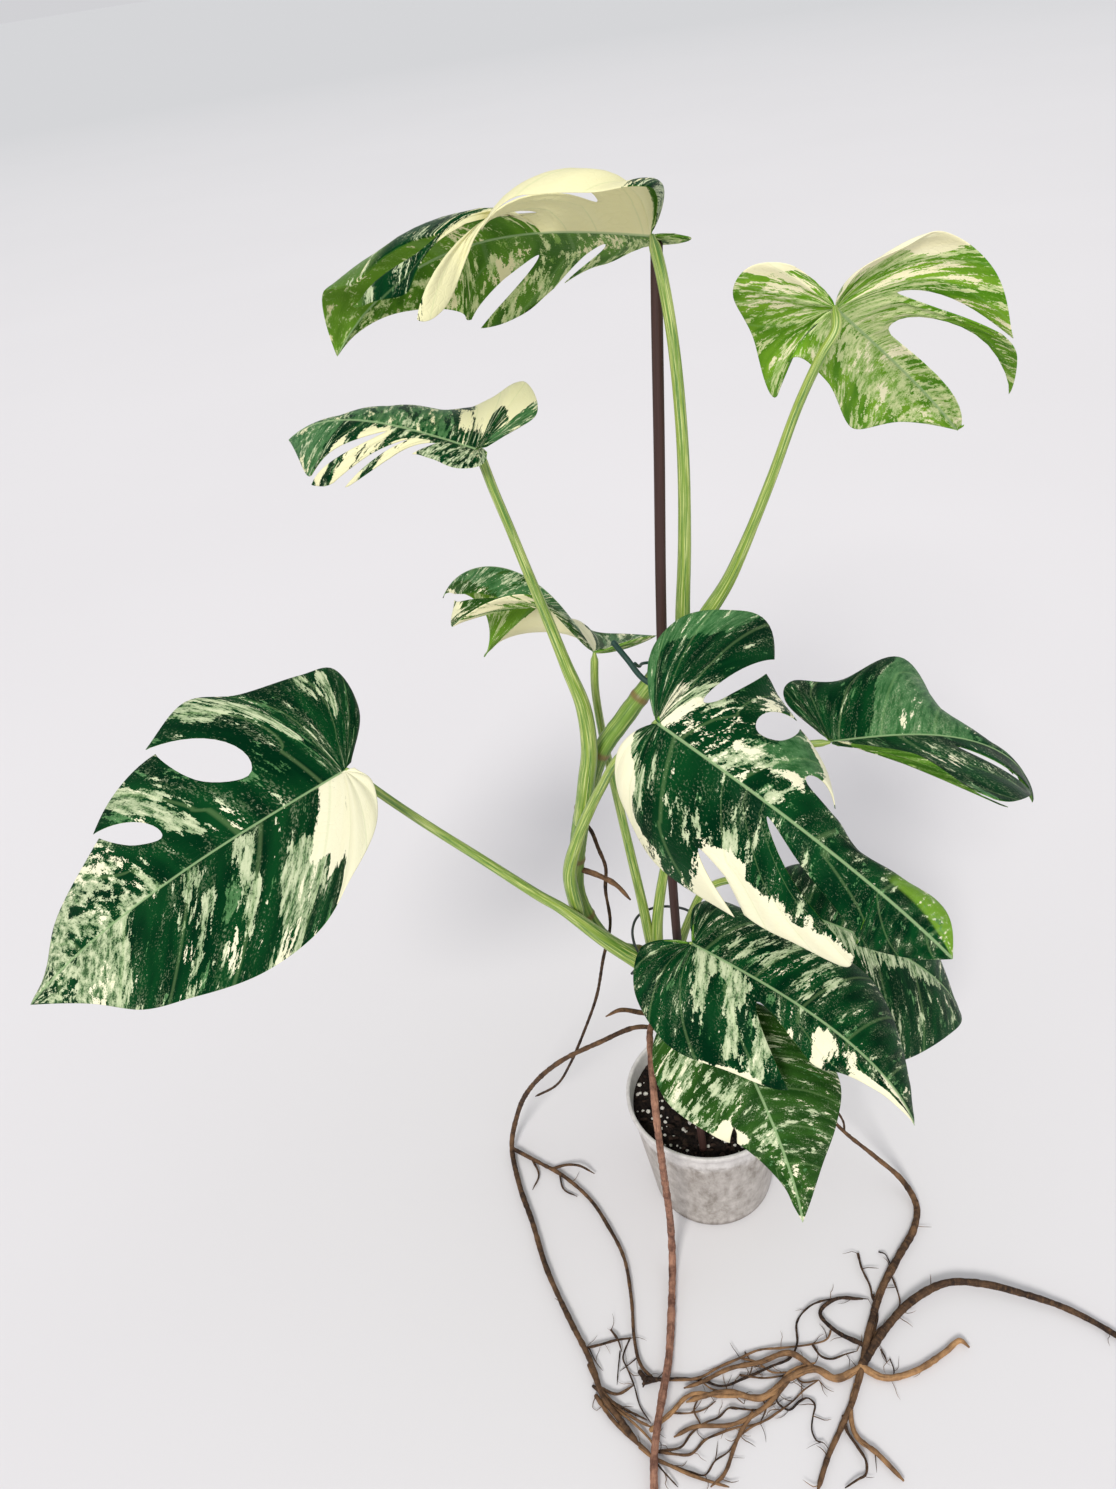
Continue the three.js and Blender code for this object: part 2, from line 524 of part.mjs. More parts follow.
// Gives the middle surface its thickness: the same triangles on both faces, and a strip round the rim
function thickened(surface) {
  const { points, triangles } = surface;
  const normals = points.map(() => new THREE.Vector3());
  const edges = new Map();
  for (const [a, b, c] of triangles) {
    const [p, q, r] = [a, b, c].map((k) => points[k].p);
    const face = q.clone().sub(p).cross(r.clone().sub(p));
    for (const k of [a, b, c]) normals[k].add(face);
    for (const [from, to] of [[a, b], [b, c], [c, a]]) edges.set(`${from},${to}`, [from, to]);
  }
  const positions = [];
  points.forEach(({ p, depth, up, free }, k) => {
    const n = up.clone().lerp(normals[k].normalize(), free).normalize();
    positions.push(p.clone().addScaledVector(n, BLADE / 2), p.clone().addScaledVector(n, -depth));
  });
  const faces = [];
  for (const [a, b, c] of triangles) {
    faces.push([2 * a, 2 * b, 2 * c], [2 * a + 1, 2 * c + 1, 2 * b + 1]);
  }
  for (const [p, q] of edges.values()) {
    if (edges.has(`${q},${p}`)) continue;
    faces.push([2 * p, 2 * p + 1, 2 * q + 1], [2 * p, 2 * q + 1, 2 * q]);
  }
  return { positions, faces };
}

// A round tube with tapered radii along a smooth line, closed at both ends, with a raised ring at each node
function tube({ points, radii, sides = 6, steps = 16, rings = [], taper = 0 }, extra = 0) {
  const curve = new THREE.CatmullRomCurve3(points.map(vector), false, 'centripetal');
  const length = curve.getLength();
  const grain = 1.6 / length;
  const stations = Array.from({ length: steps + 1 }, (_, i) => ({ u: i / steps, bump: 0 }))
    .filter(({ u }) => rings.every((ring) => Math.abs(u - ring) > 1.5 * grain));
  rings.forEach((u) => stations.push({ u: u - grain, bump: 0 }, { u, bump: RING_HEIGHT }, { u: u + grain, bump: 0 }));
  if (taper) stations.push({ u: 1 - taper / length, bump: 0 });
  stations.sort((a, b) => a.u - b.u);
  const positions = [];
  const faces = [];
  const normal = new THREE.Vector3();
  let before = null;
  for (const { u, bump } of stations) {
    const centre = curve.getPointAt(u);
    const tangent = curve.getTangentAt(u);
    if (before) normal.addScaledVector(tangent, -normal.dot(tangent)).normalize();
    else normal.crossVectors(tangent, new THREE.Vector3(0.3, 1, 0.1)).normalize();
    before = tangent;
    const binormal = tangent.clone().cross(normal);
    const x = u * (radii.length - 1);
    const k = Math.min(Math.floor(x), radii.length - 2);
    const narrow = taper ? mix(0.4, 1, clamp((1 - u) * length / taper, 0, 1)) : 1;
    const radius = mix(radii[k], radii[k + 1], x - k) * narrow + bump + extra;
    for (let j = 0; j < sides; j += 1) {
      const angle = 2 * Math.PI * j / sides;
      const offset = normal.clone().multiplyScalar(Math.cos(angle) * radius);
      offset.addScaledVector(binormal, Math.sin(angle) * radius);
      positions.push(centre.clone().add(offset));
    }
  }
  const spans = stations.length - 1;
  for (let i = 0; i < spans; i += 1) {
    for (let j = 0; j < sides; j += 1) {
      const a = i * sides + j;
      const b = i * sides + (j + 1) % sides;
      faces.push([a, b, b + sides], [a, b + sides, a + sides]);
    }
  }
  for (let j = 1; j + 1 < sides; j += 1) {
    const last = spans * sides;
    faces.push([0, j + 1, j], [last, last + j, last + j + 1]);
  }
  return { positions, faces };
}

// Closed meshes as solids that can be joined and cut
function solid({ positions, faces }) {
  const vertProperties = new Float32Array(positions.flatMap((p) => [p.x, p.y, p.z]));
  return new wasm.Manifold(new wasm.Mesh({ numProp: 3, vertProperties, triVerts: new Uint32Array(faces.flat()) }));
}

function solidOfGeometry(geometry) {
  geometry.deleteAttribute('normal');
  geometry.deleteAttribute('uv');
  const merged = mergeVertices(geometry, 0.001);
  const mesh = new wasm.Mesh({
    numProp: 3,
    vertProperties: new Float32Array(merged.attributes.position.array),
    triVerts: new Uint32Array(merged.index.array),
  });
  return new wasm.Manifold(mesh);
}

function largest(shape) {
  const pieces = shape.decompose();
  return pieces.reduce((best, piece) => (piece.volume() > best.volume() ? piece : best), pieces[0]);
}

function geometryOf(shape) {
  const mesh = shape.getMesh();
  const geometry = new THREE.BufferGeometry();
  geometry.setAttribute('position', new THREE.BufferAttribute(Float32Array.from(mesh.vertProperties), 3));
  geometry.setIndex(new THREE.BufferAttribute(Uint32Array.from(mesh.triVerts), 1));
  geometry.computeVertexNormals();
  return geometry;
}

const plant = new THREE.Group();

function addPiece(name, shape, colour, roughness) {
  const material = new THREE.MeshStandardMaterial({ color: colour, roughness, metalness: 0 });
  const mesh = new THREE.Mesh(geometryOf(shape), material);
  mesh.name = name;
  plant.add(mesh);
}

// A ring profile turned round the Z axis
function turned(profile) {
  const lathe = new THREE.LatheGeometry(profile.map(([r, z]) => new THREE.Vector2(r, z)), POT_SIDES);
  return lathe.rotateX(Math.PI / 2);
}

// Pot: a thin moulded cup with a small lip
const LIP_RADIUS = POT_RIM_RADIUS - 1.6;
const innerRadius = (z) => mix(POT_FOOT_RADIUS, LIP_RADIUS, z / POT_HEIGHT) - POT_WALL;
const pot = solidOfGeometry(turned([
  [0, 0],
  [POT_FOOT_RADIUS - 1.5, 0],
  [POT_FOOT_RADIUS, 1.5],
  [LIP_RADIUS, POT_HEIGHT - POT_LIP],
  [POT_RIM_RADIUS, POT_HEIGHT - POT_LIP],
  [POT_RIM_RADIUS, POT_HEIGHT - 0.8],
  [POT_RIM_RADIUS - 0.8, POT_HEIGHT],
  [innerRadius(POT_HEIGHT), POT_HEIGHT],
  [innerRadius(POT_WALL), POT_WALL],
  [0, POT_WALL],
]));
addPiece('pot', pot, '#b9b6b0', 0.35);

// Stake and main stem
const stake = solid(tube(STAKE));
addPiece('stake', stake, '#2e1f1a', 0.6);
const stem = solid(tube(STEM));
addPiece('main_stem', stem, '#6f8f33', 0.5);

// The stem and the stake with clearance round them, for what clasps or passes them
const core = { ...STEM, rings: [], steps: 28 };
let standing = solid(tube(core, CLEARANCE + RING_HEIGHT)).add(solid(tube(STAKE, CLEARANCE)));

// Petioles clasp the stem and end just short of their blades
for (const [name, petiole] of Object.entries(PETIOLES)) {
  const points = petiole.points.map(vector);
  const end = points.pop();
  points.push(end.clone().add(points.at(-1).clone().sub(end).setLength(SEAT)));
  const shape = { sides: 8, steps: Math.round(points.length * 1.4), ...petiole, points, taper: 4 };
  addPiece(name, largest(solid(tube(shape)).subtract(standing)), '#a3bd4f', 0.45);
  standing = standing.add(solid(tube(shape, CLEARANCE)));
}

// Leaf blades
for (const [name, leaf] of Object.entries(LEAVES)) {
  addPiece(name, solid(thickened(leafSurface(leaf))), '#2f5a2b', 0.35);
}

// Aerial roots
for (const [name, root] of Object.entries(ROOTS)) {
  const [first, ...branches] = root.strands.map((strand) => solid(tube(strand)));
  const joined = branches.reduce((body, branch) => body.add(branch), first);
  addPiece(name, largest(joined.subtract(standing)), '#7a5444', 0.75);
  const fat = root.strands.map((strand) => solid(tube(strand, CLEARANCE)));
  standing = fat.reduce((body, strand) => body.add(strand), standing);
}

// Ties
for (const [name, tie] of Object.entries(TIES)) {
  addPiece(name, largest(solid(tube(tie)).subtract(standing)), '#1f3a33', 0.6);
}

// Soil: a plug with a rough top, pressed round the stem, roots and stake, with pale grit in it
const soilTop = (x, y) => SOIL_HEIGHT + 1.6 * Math.sin(x * 0.21 + 1) * Math.cos(y * 0.17)
  + 0.9 * Math.sin(x * 0.5 + y * 0.43);
const soilRadius = (z) => innerRadius(z) - CLEARANCE;
const soilFloor = POT_WALL + CLEARANCE;
const soilRings = [1, 0.8, 0.6, 0.4, 0.2];
const soilProfile = [[0, soilFloor], [soilRadius(soilFloor), soilFloor]];
soilRings.forEach((share) => soilProfile.push([soilRadius(SOIL_HEIGHT) * share, SOIL_HEIGHT]));
soilProfile.push([0, SOIL_HEIGHT]);
const soilShape = turned(soilProfile);
const soilPoints = soilShape.attributes.position;
for (let i = 0; i < soilPoints.count; i += 1) {
  const [x, y, z] = [soilPoints.getX(i), soilPoints.getY(i), soilPoints.getZ(i)];
  const inside = Math.hypot(x, y) < soilRadius(SOIL_HEIGHT) * 0.9;
  if (z > SOIL_HEIGHT - 1 && inside) soilPoints.setZ(i, soilTop(x, y));
}
let soil = solidOfGeometry(soilShape);
const GRIT_COUNT = 18;
for (let i = 0; i < GRIT_COUNT; i += 1) {
  const angle = i * 2.4;
  const reach = 48 * Math.sqrt((i + 0.5) / GRIT_COUNT);
  const [x, y] = [reach * Math.cos(angle), reach * Math.sin(angle)];
  const size = 2.2 + 1.1 * Math.sin(i * 1.7);
  const bit = new THREE.IcosahedronGeometry(size, 0).rotateX(i).translate(x, y, soilTop(x, y) + size * 0.3);
  soil = soil.add(solidOfGeometry(bit));
}
addPiece('soil', largest(soil.subtract(standing)), '#2b211c', 0.95);

export default plant;
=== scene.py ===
# A potted variegated monstera tied to a slim stake, with long aerial roots that trail on the floor.
# Lengths in the data are millimetres, and every mesh is written in metres.
import math
from collections import namedtuple
import bmesh
import bpy
import numpy as np
from mathutils import Matrix, Vector


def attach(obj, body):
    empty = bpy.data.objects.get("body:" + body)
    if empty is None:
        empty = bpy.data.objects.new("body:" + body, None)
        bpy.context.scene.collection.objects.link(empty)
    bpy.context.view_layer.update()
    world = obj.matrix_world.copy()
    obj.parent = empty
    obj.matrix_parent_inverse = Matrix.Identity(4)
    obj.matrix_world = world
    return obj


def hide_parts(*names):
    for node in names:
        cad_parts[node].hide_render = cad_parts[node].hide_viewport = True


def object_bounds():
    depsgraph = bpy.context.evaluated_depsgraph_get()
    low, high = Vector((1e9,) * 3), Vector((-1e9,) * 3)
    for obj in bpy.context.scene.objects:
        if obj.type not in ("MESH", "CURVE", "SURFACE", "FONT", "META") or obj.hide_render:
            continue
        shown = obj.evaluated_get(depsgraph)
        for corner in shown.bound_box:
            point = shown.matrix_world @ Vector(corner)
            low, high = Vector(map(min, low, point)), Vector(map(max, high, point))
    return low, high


# Millimetres in a metre, and micrometres in a millimetre
MM = 1000
MICROMETRES = 1000
PERCENT = 100
TURN = 2 * math.pi

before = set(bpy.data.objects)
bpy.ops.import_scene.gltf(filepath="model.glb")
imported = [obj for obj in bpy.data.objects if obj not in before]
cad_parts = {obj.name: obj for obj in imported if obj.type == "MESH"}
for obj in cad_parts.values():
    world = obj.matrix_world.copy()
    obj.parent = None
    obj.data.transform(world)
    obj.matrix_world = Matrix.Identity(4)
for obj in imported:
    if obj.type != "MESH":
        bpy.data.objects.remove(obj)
cad_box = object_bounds()
box_mm = np.array([list(v) for v in cad_box]) * MM
rng = np.random.default_rng(7)
scene = bpy.context.scene

# Pot, soil and floor
POT_HEIGHT = 108
POT_RIM_RADIUS = 60
POT_FOOT_RADIUS = 45.5
POT_WALL = 1.2
LIP_RADIUS = 58.4
POT_SIDES, WALL_STEPS = 96, 30
SOIL_HEIGHT = 95
SOIL_RINGS, SOIL_SIDES = 36, 110
SOIL_ROUGHNESS, SOIL_GAP = 0.45, 0.3
SOIL_EDGE, EDGE_FADE = 0.98, 0.1
GRAIN_REACH, GRAIN_RISE, GRAIN_TILT = 54, 0.35, 0.2
# Almost a full turn, for the random angles of the grains
NEAR_TURN = 6.28
FLOOR_GAP = 0.1

# Floor and light, in metres and shares
STAGE_RADIUS, STAGE_SIDES = 150.0, 96
FADE = (1.2, 11.0)
SKY, SKY_STRENGTH = (0.97, 0.97, 1.0, 1), 0.66
CLIP = (0.02, 200)

# Leaf model
SPINE_STEPS = 40
RIB_STEPS = 20
SLANT = 0.62
RIB_CURVE = 0.12
RIB_SOFTNESS = 0.06
SPINE_STATIONS = 70
COLUMNS, LEAST_COLUMNS = 96, 8
VEINS = 9
# Stands for the missing cut of a half without any: place and share of the width
UNCUT = (0, 0.45)
CUT_SKEW, CUT_FULLNESS = 0.7, 0.8
CORNER, CORNER_REACH = 0.1, 0.36
PATCH_SIDE, PATCH_END = 0.03, 0.1
INNER_ROWS = np.array([0.015, 0.04, 0.08, 0.14, 0.22, 0.32, 0.44, 0.58, 0.72, 0.86, 1])
OUTER_ROWS = np.array([0.015, 0.04, 0.08, 0.14, 0.21, 0.29, 0.38, 0.47, 0.56, 0.65, 0.74, 0.82, 0.9,
                       0.96, 1])

# Thickness and relief of a blade
BLADE = 0.8
MIDRIB, MIDRIB_WIDTH = 1.6, 1.7
GROOVE, GROOVE_WIDTH = 0.35, 1.3
QUILT, QUILT_REACH = 0.3, 12
CREASE, CREASE_WIDTH, CREASE_REACH, CREASE_BELOW = 0.22, 0.09, 6, 1.2
FOLD_WIDTH = 6
RIM_FADE = 0.12
RIM_THICKNESS, RIM_WIDTH, RIM_BULGE = 0.55, 0.1, 0.25

# Tubes
CURVE_SAMPLES = 24
TIP_RADIUS = 0.45
RING_HEIGHT, RING_WIDTH = 0.5, 1.6
KNOB_LIMIT = 1.5
END_STEPS = np.array([0.0, 0.45, 0.8])
END_LENGTH, END_RADIUS = 0.8, 0.02
ROOT_SLIMNESS = 0.84

# Fine strands: how far they lie above the floor, in turns low and high, and how they thin out
STRAND_GAP, STRAND_WAVE = 0.6, 1.6
STRAND_TAPER = np.array([1, 0.85, 0.6])

# Rootlets: how long they are, how they wander and sink to the floor, and how many a root has
ROOTLET_LENGTH = (4, 16)
ROOTLET_STEP, ROOTLET_HEIGHT, ROOTLET_GAP = 4.0, 2.0, 0.3
ROOTLET_WANDER, ROOTLET_SINK, ROOTLET_STIR = 0.45, 0.8, (-0.3, 1.2)
ROOTLET_TAPER = np.array([1, 0.85, 0.5])
ROOTLET_SHADE = (0.1, 0.7)
ROOTLET_SHARE = {'root_left': 0.02, 'root_right': 0.04, 'root_front': 0.01}
# They grow where a root lies lower and nearer to the viewer than this
LOW, IN_FRONT = 14, 20

# Each leaf: where its petiole ends, where its tip is, roll about that line, how far the spine bends,
# and its two halves.
# Each half: rim points as distance along the midrib and out from it, one after the other, then how far
# the blade lifts at the midrib and curls on the way to the rim, in degrees from the base to the tip,
# and its cuts.
# Each cut: place on the rim scale and share of the width where it starts, place where it opens,
# half width, and how open its mouth is.
Leaf = namedtuple('Leaf', 'base tip roll droop left right')
Half = namedtuple('Half', 'rim lift curl cuts')
LEAVES = {
    'leaf_low_left': Leaf((-187, -15, 456), (-383, -68, 368), -20, 29,
        Half([-4, 2, -9, 19, 0, 50, 21, 76, 45, 90, 81, 85, 122, 70, 154, 55, 186, 28, 224, 0], [2, 20, 9,
          0], [5, -8, -22, -26], []),
        Half([-4, 4, -22, 34, -22, 68, -2, 74, 34, 83, 64, 100, 96, 88, 130, 72, 157, 51, 191, 31, 208, 8,
          224, 0], [12, 16, 11, 1], [-38, -25, -25, -24], [(0.535, 0.28, 0.55, 0.034, 0.1), (0.66, 0.34,
          0.69, 0.02, 0.15)])),
    'leaf_middle_front': Leaf((-20, -60, 488), (100, -160, 396), 29, 35,
        Half([-1, 4, -23, 25, -22, 50, -5, 68, 14, 86, 42, 70, 90, 52, 119, 24, 150, 27, 170, 20, 185, 0],
          [30, 38, 10, -11, 5], [-29, -42, -75, -85, -26], [(0.5, 0.3, 0.45, 0.025, 0.5), (0.555, 0.42,
          0.54, 0.02, 0.4), (0.62, 0.45, 0.66, 0.03, 0.5)]),
        Half([-4, 4, -13, 28, 5, 56, 48, 73, 98, 63, 126, 52, 157, 41, 152, 30, 160, 22, 172, 12, 185, 0],
          [-10, -24, -12, -14, 0], [-40, -53, -51, -34, -20], [(0.36, 0.55, 0.41, 0.014, 0.6), (0.43, 0.07,
          0.69, 0.032, 0.5)])),
    'leaf_middle_right': Leaf((90, 10, 404), (220, 7, 335), 0, 80,
        Half([-2, 3, -21, 32, -13, 50, 22, 46, 68, 70, 94, 56, 118, 24, 140, 11, 153, 5, 162, 0], [42, 47,
          14, -2], [-48, -56, -84, -75], [(0.72, 0.62, 0.8, 0.02, 0.6)]),
        Half([0, 5, 8, 18, 22, 38, 34, 60, 52, 74, 80, 74, 108, 46, 136, 16, 162, 0], [26, 28, 10, -5], [-8,
          -8, -22, -22], [(0.42, 0.28, 0.62, 0.032, 0.1), (0.72, 0.2, 0.84, 0.02, 0.3)])),
    'leaf_top_right': Leaf((85, 0, 659), (175, 66, 563), -42, 16,
        Half([-4, 2, -29, 4, -40, 20, -29, 36, 5, 44, 27, 51, -3, 30, 30, 27, 80, 36, 115, 18, 148, 0], [24,
          25, -14, 5], [-1, -9, -43, -16], [(0.62, 0.34, 0.55, 0.03, 0.9)]),
        Half([-5, 4, -15, 21, -10, 39, -4, 55, 27, 65, 60, 61, 85, 56, 126, 35, 148, 0], [9, 18, 1, -8],
          [-21, -33, -46, -34], [(0.56, 0.34, 0.655, 0.028, 0.3), (0.72, 0.12, 0.915, 0.16, 0.4)])),
    'leaf_top_left': Leaf((4, 0, 701), (-151, 70, 652), 36, 71,
        Half([-4, 6, -15, 30, -21, 54, 4, 52, 25, 64, 58, 60, 88, 50, 106, 80, 112, 76, 145, 62, 163, 35,
          190, 0], [41, 46, 52, 19, 18, 16], [-44, -89, -116, -134, -108, -5], [(0.45, 0.2, 0.5, 0.03, 0.9),
          (0.52, 0.2, 0.68, 0.03, 0.6), (0.66, 0.6, 0.84, 0.02, 0.7)]),
        Half([0, 6, -12, 14, 16, 24, 55, 54, 99, 69, 125, 44, 124, 29, 151, 14, 174, 5, 190, 0], [17, 7,
          -20, 15], [2, -9, -32, -8], [(0.35, 0.32, 0.41, 0.02, 0.6), (0.46, 0.29, 0.55, 0.02, 0.8)])),
    'leaf_upper_left': Leaf((-86, 0, 618), (-189, 82, 609), -9, 45,
        Half([-9, 6, -12, 12, 2, 15, 20, 13, 38, 14, 72, 34, 96, 34, 108, 28, 135, 0], [40, 14, -10, -18],
          [-26, -49, -51, -34], [(0.43, 0.3, 0.5, 0.035, 0.9), (0.53, 0.3, 0.65, 0.03, 0.8), (0.62, 0.1,
          0.82, 0.03, 0.6)]),
        Half([-4, 2, -16, 29, 8, 56, 20, 42, 41, 40, 80, 35, 109, 16, 135, 0], [35, 25, 7, -9], [-31, -43,
          -53, -27], [])),
    'leaf_small_left': Leaf((-42, 20, 484), (-123, 64, 510), 20, 122,
        Half([2, 2, 9, 14, 28, 33, 44, 42, 58, 46, 74, 50, 94, 36, 106, 14, 116, 0], [24, 20, -22, -20],
          [-27, -22, -40, -20], [(0.67, 0.45, 0.85, 0.02, 0.6)]),
        Half([-4, 4, -14, 40, 2, 58, 24, 62, 49, 59, 79, 54, 97, 38, 110, 19, 116, 0], [72, -8, -64, -12],
          [-20, -18, -32, -21], [])),
    'leaf_low_front': Leaf((-11, -60, 327), (102, -134, 226), 2, 55,
        Half([0, 4, -9, 31, 12, 60, 59, 64, 98, 60, 128, 44, 156, 21, 175, 0], [24, 14, 18, 3], [-41, -65,
          -53, -28], []),
        Half([-2, 2, -25, 14, -16, 42, 17, 58, 59, 52, 98, 43, 112, 20, 136, 9, 158, 4, 175, 0], [3, -9,
          -19, 4], [-20, -52, -51, -17], [(0.49, 0.19, 0.61, 0.05, 0.9)])),
    'leaf_low_right': Leaf((51, -13, 300), (186, -4, 151), 15, 40,
        Half([1, 4, 4, 26, 40, 52, 87, 58, 134, 56, 174, 34, 203, 0], [25, 20, 23, 0], [-26, -50, -39, -20],
          []),
        Half([0, 3, 1, 36, 35, 68, 87, 72, 134, 62, 178, 25, 203, 0], [-7, -1, -6, 10], [-27, -43, -36,
          -12], [])),
    'leaf_lowest': Leaf((0, -65, 280), (29, -160, 187), -5, 42,
        Half([1, 5, 18, 33, 52, 51, 75, 53, 95, 40, 113, 22, 131, 7, 139, 0], [10, 20, 12, 0], [-39, -49,
          -38, -20], []),
        Half([0, 3, -5, 29, 11, 49, 45, 54, 78, 37, 94, 22, 114, 7, 128, 3, 139, 0], [-12, -13, -23, 0],
          [-31, -43, -53, -20], [(0.53, 0.62, 0.57, 0.012, 0.9)])),
}

# Stem, stalks, stake and ties: radii along the line, then its points, as x, y, z one after the other
STEM_RINGS = [0.1, 0.2, 0.3, 0.42, 0.53, 0.635, 0.72, 0.81, 0.9]
STEM = ([7, 7, 6.5, 5.5, 5.2, 5, 5.5, 5.5, 4.2], [-14, -8, 70, -16, -9, 130, -26, -6, 200, -33, 0, 256, -50,
    2, 266, -62, 4, 281, -72, 6, 318, -68, 6, 354, -60, 6, 388, -46, 6, 426, -30, 8, 446, -13, 10, 466, 2,
    10, 484, 9, 8, 494])
PETIOLES = {
    'petiole_low_left': ([6, 4.8, 3.4, 3, 2.7, 2.5, 2.6], [-39, -13, 268, -59, -13, 292, -84, -14, 327, -95,
        -14, 339, -126, -15, 378, -150, -16, 408, -168, -16, 431, -179, -16, 446, -187, -15, 456]),
    'petiole_middle_front': ([4.5, 4.2, 3.4, 2.8, 2.4, 2.4], [-74, -4, 312, -75, -9, 350, -67, -14, 380,
        -57, -20, 407, -49, -29, 429, -40, -40, 453, -30, -50, 470, -20.5, -54, 479, -20, -60, 488]),
    'petiole_middle_right': ([5, 4, 3.2, 2.6, 2.3, 2.3], [-20, 4, 205, -24, 12, 258, -15, 17, 313, -3, 19,
        352, 16, 19, 382, 42, 17, 398, 70, 13, 403, 90, 10, 404]),
    'petiole_top_right': ([5, 3.8, 2.8, 2.5, 2.3, 2.5], [9, 6, 490, 20, 5, 507, 31, 4, 524, 40, 2, 544, 54,
        -2, 581, 67, -6, 619, 77, -8, 641, 84, -6, 651, 85, 0, 659]),
    'petiole_top_left': ([4.4, 3.6, 3.2, 2.9, 2.7, 2.7], [6, 3, 491, 6, -1, 512, 9, -4, 556, 11, -4, 604,
        10, -3, 652, 7, -1, 684, 4, 0, 701]),
    'petiole_upper_left': ([5, 5, 4.4, 3.2, 2.7, 2.4, 2.4], [-63, -3, 384, -57, -5, 415, -53, -6, 437, -53,
        -5, 466, -59, -3, 493, -65, 0, 520, -71, 0, 547, -77, 0, 575, -82, 0, 597, -86, 0, 618]),
    'petiole_small_left': ([4.5, 3.8, 3.2, 2.9, 2.6, 2.4, 2.3], [-22, 4, 196, -28, 14, 250, -31, 17, 290,
        -35, 19, 335, -39, 20, 380, -43, 21, 427, -44, 21, 460, -42, 20, 484]),
    'petiole_low_right': ([4.5, 3.6, 2.8, 2.4, 2.3], [-17, -4, 190, -12, 5, 245, -2, 6, 280, 10, 5, 305, 27,
        -1, 315, 41, -8, 310, 51, -13, 300]),
    'petiole_low_front': ([4.5, 3.6, 2.8, 2.5, 2.4], [-23, -14, 185, -22, -26, 240, -18, -40, 285, -14, -52,
        312, -11, -60, 327]),
    'petiole_lowest': ([4.5, 3.4, 2.6, 2.3, 2.2], [-14, -15, 130, -9, -26, 175, -5, -42, 225, -2, -56, 260,
        0, -65, 280]),
}
STAKE = ([2.8, 2.8], [-10, -43, 60, -14, -34, 200, -15, -27, 305, -12, -19, 429, -6, -9, 526, 0, -1, 604, 5,
    6, 673, 7, 9, 695])
TIES = {
    'tie_upper': ([1.6, 1.6, 0.9, 0.9], [-32, 2, 500, -26, -2, 491, -19, -12, 483, -8, -18, 478, 0, -14,
        476, 4, 0, 474, 3, 16, 473, -6, 20, 472, -15, 18, 474, -19, 6, 480, -22, -3, 488]),
    'tie_lower': ([0.9, 0.9], [-46, -30, 276, -40, -29, 281, -33, -27, 280, -26, -32, 280, -16, -37, 280,
        -6, -31, 280, 0, -12, 280, 0, 12, 279, -8, 20, 278, -22, 24, 277, -34, 20, 276, -40, 8, 276, -40,
        -12, 278, -36, -22, 280]),
}

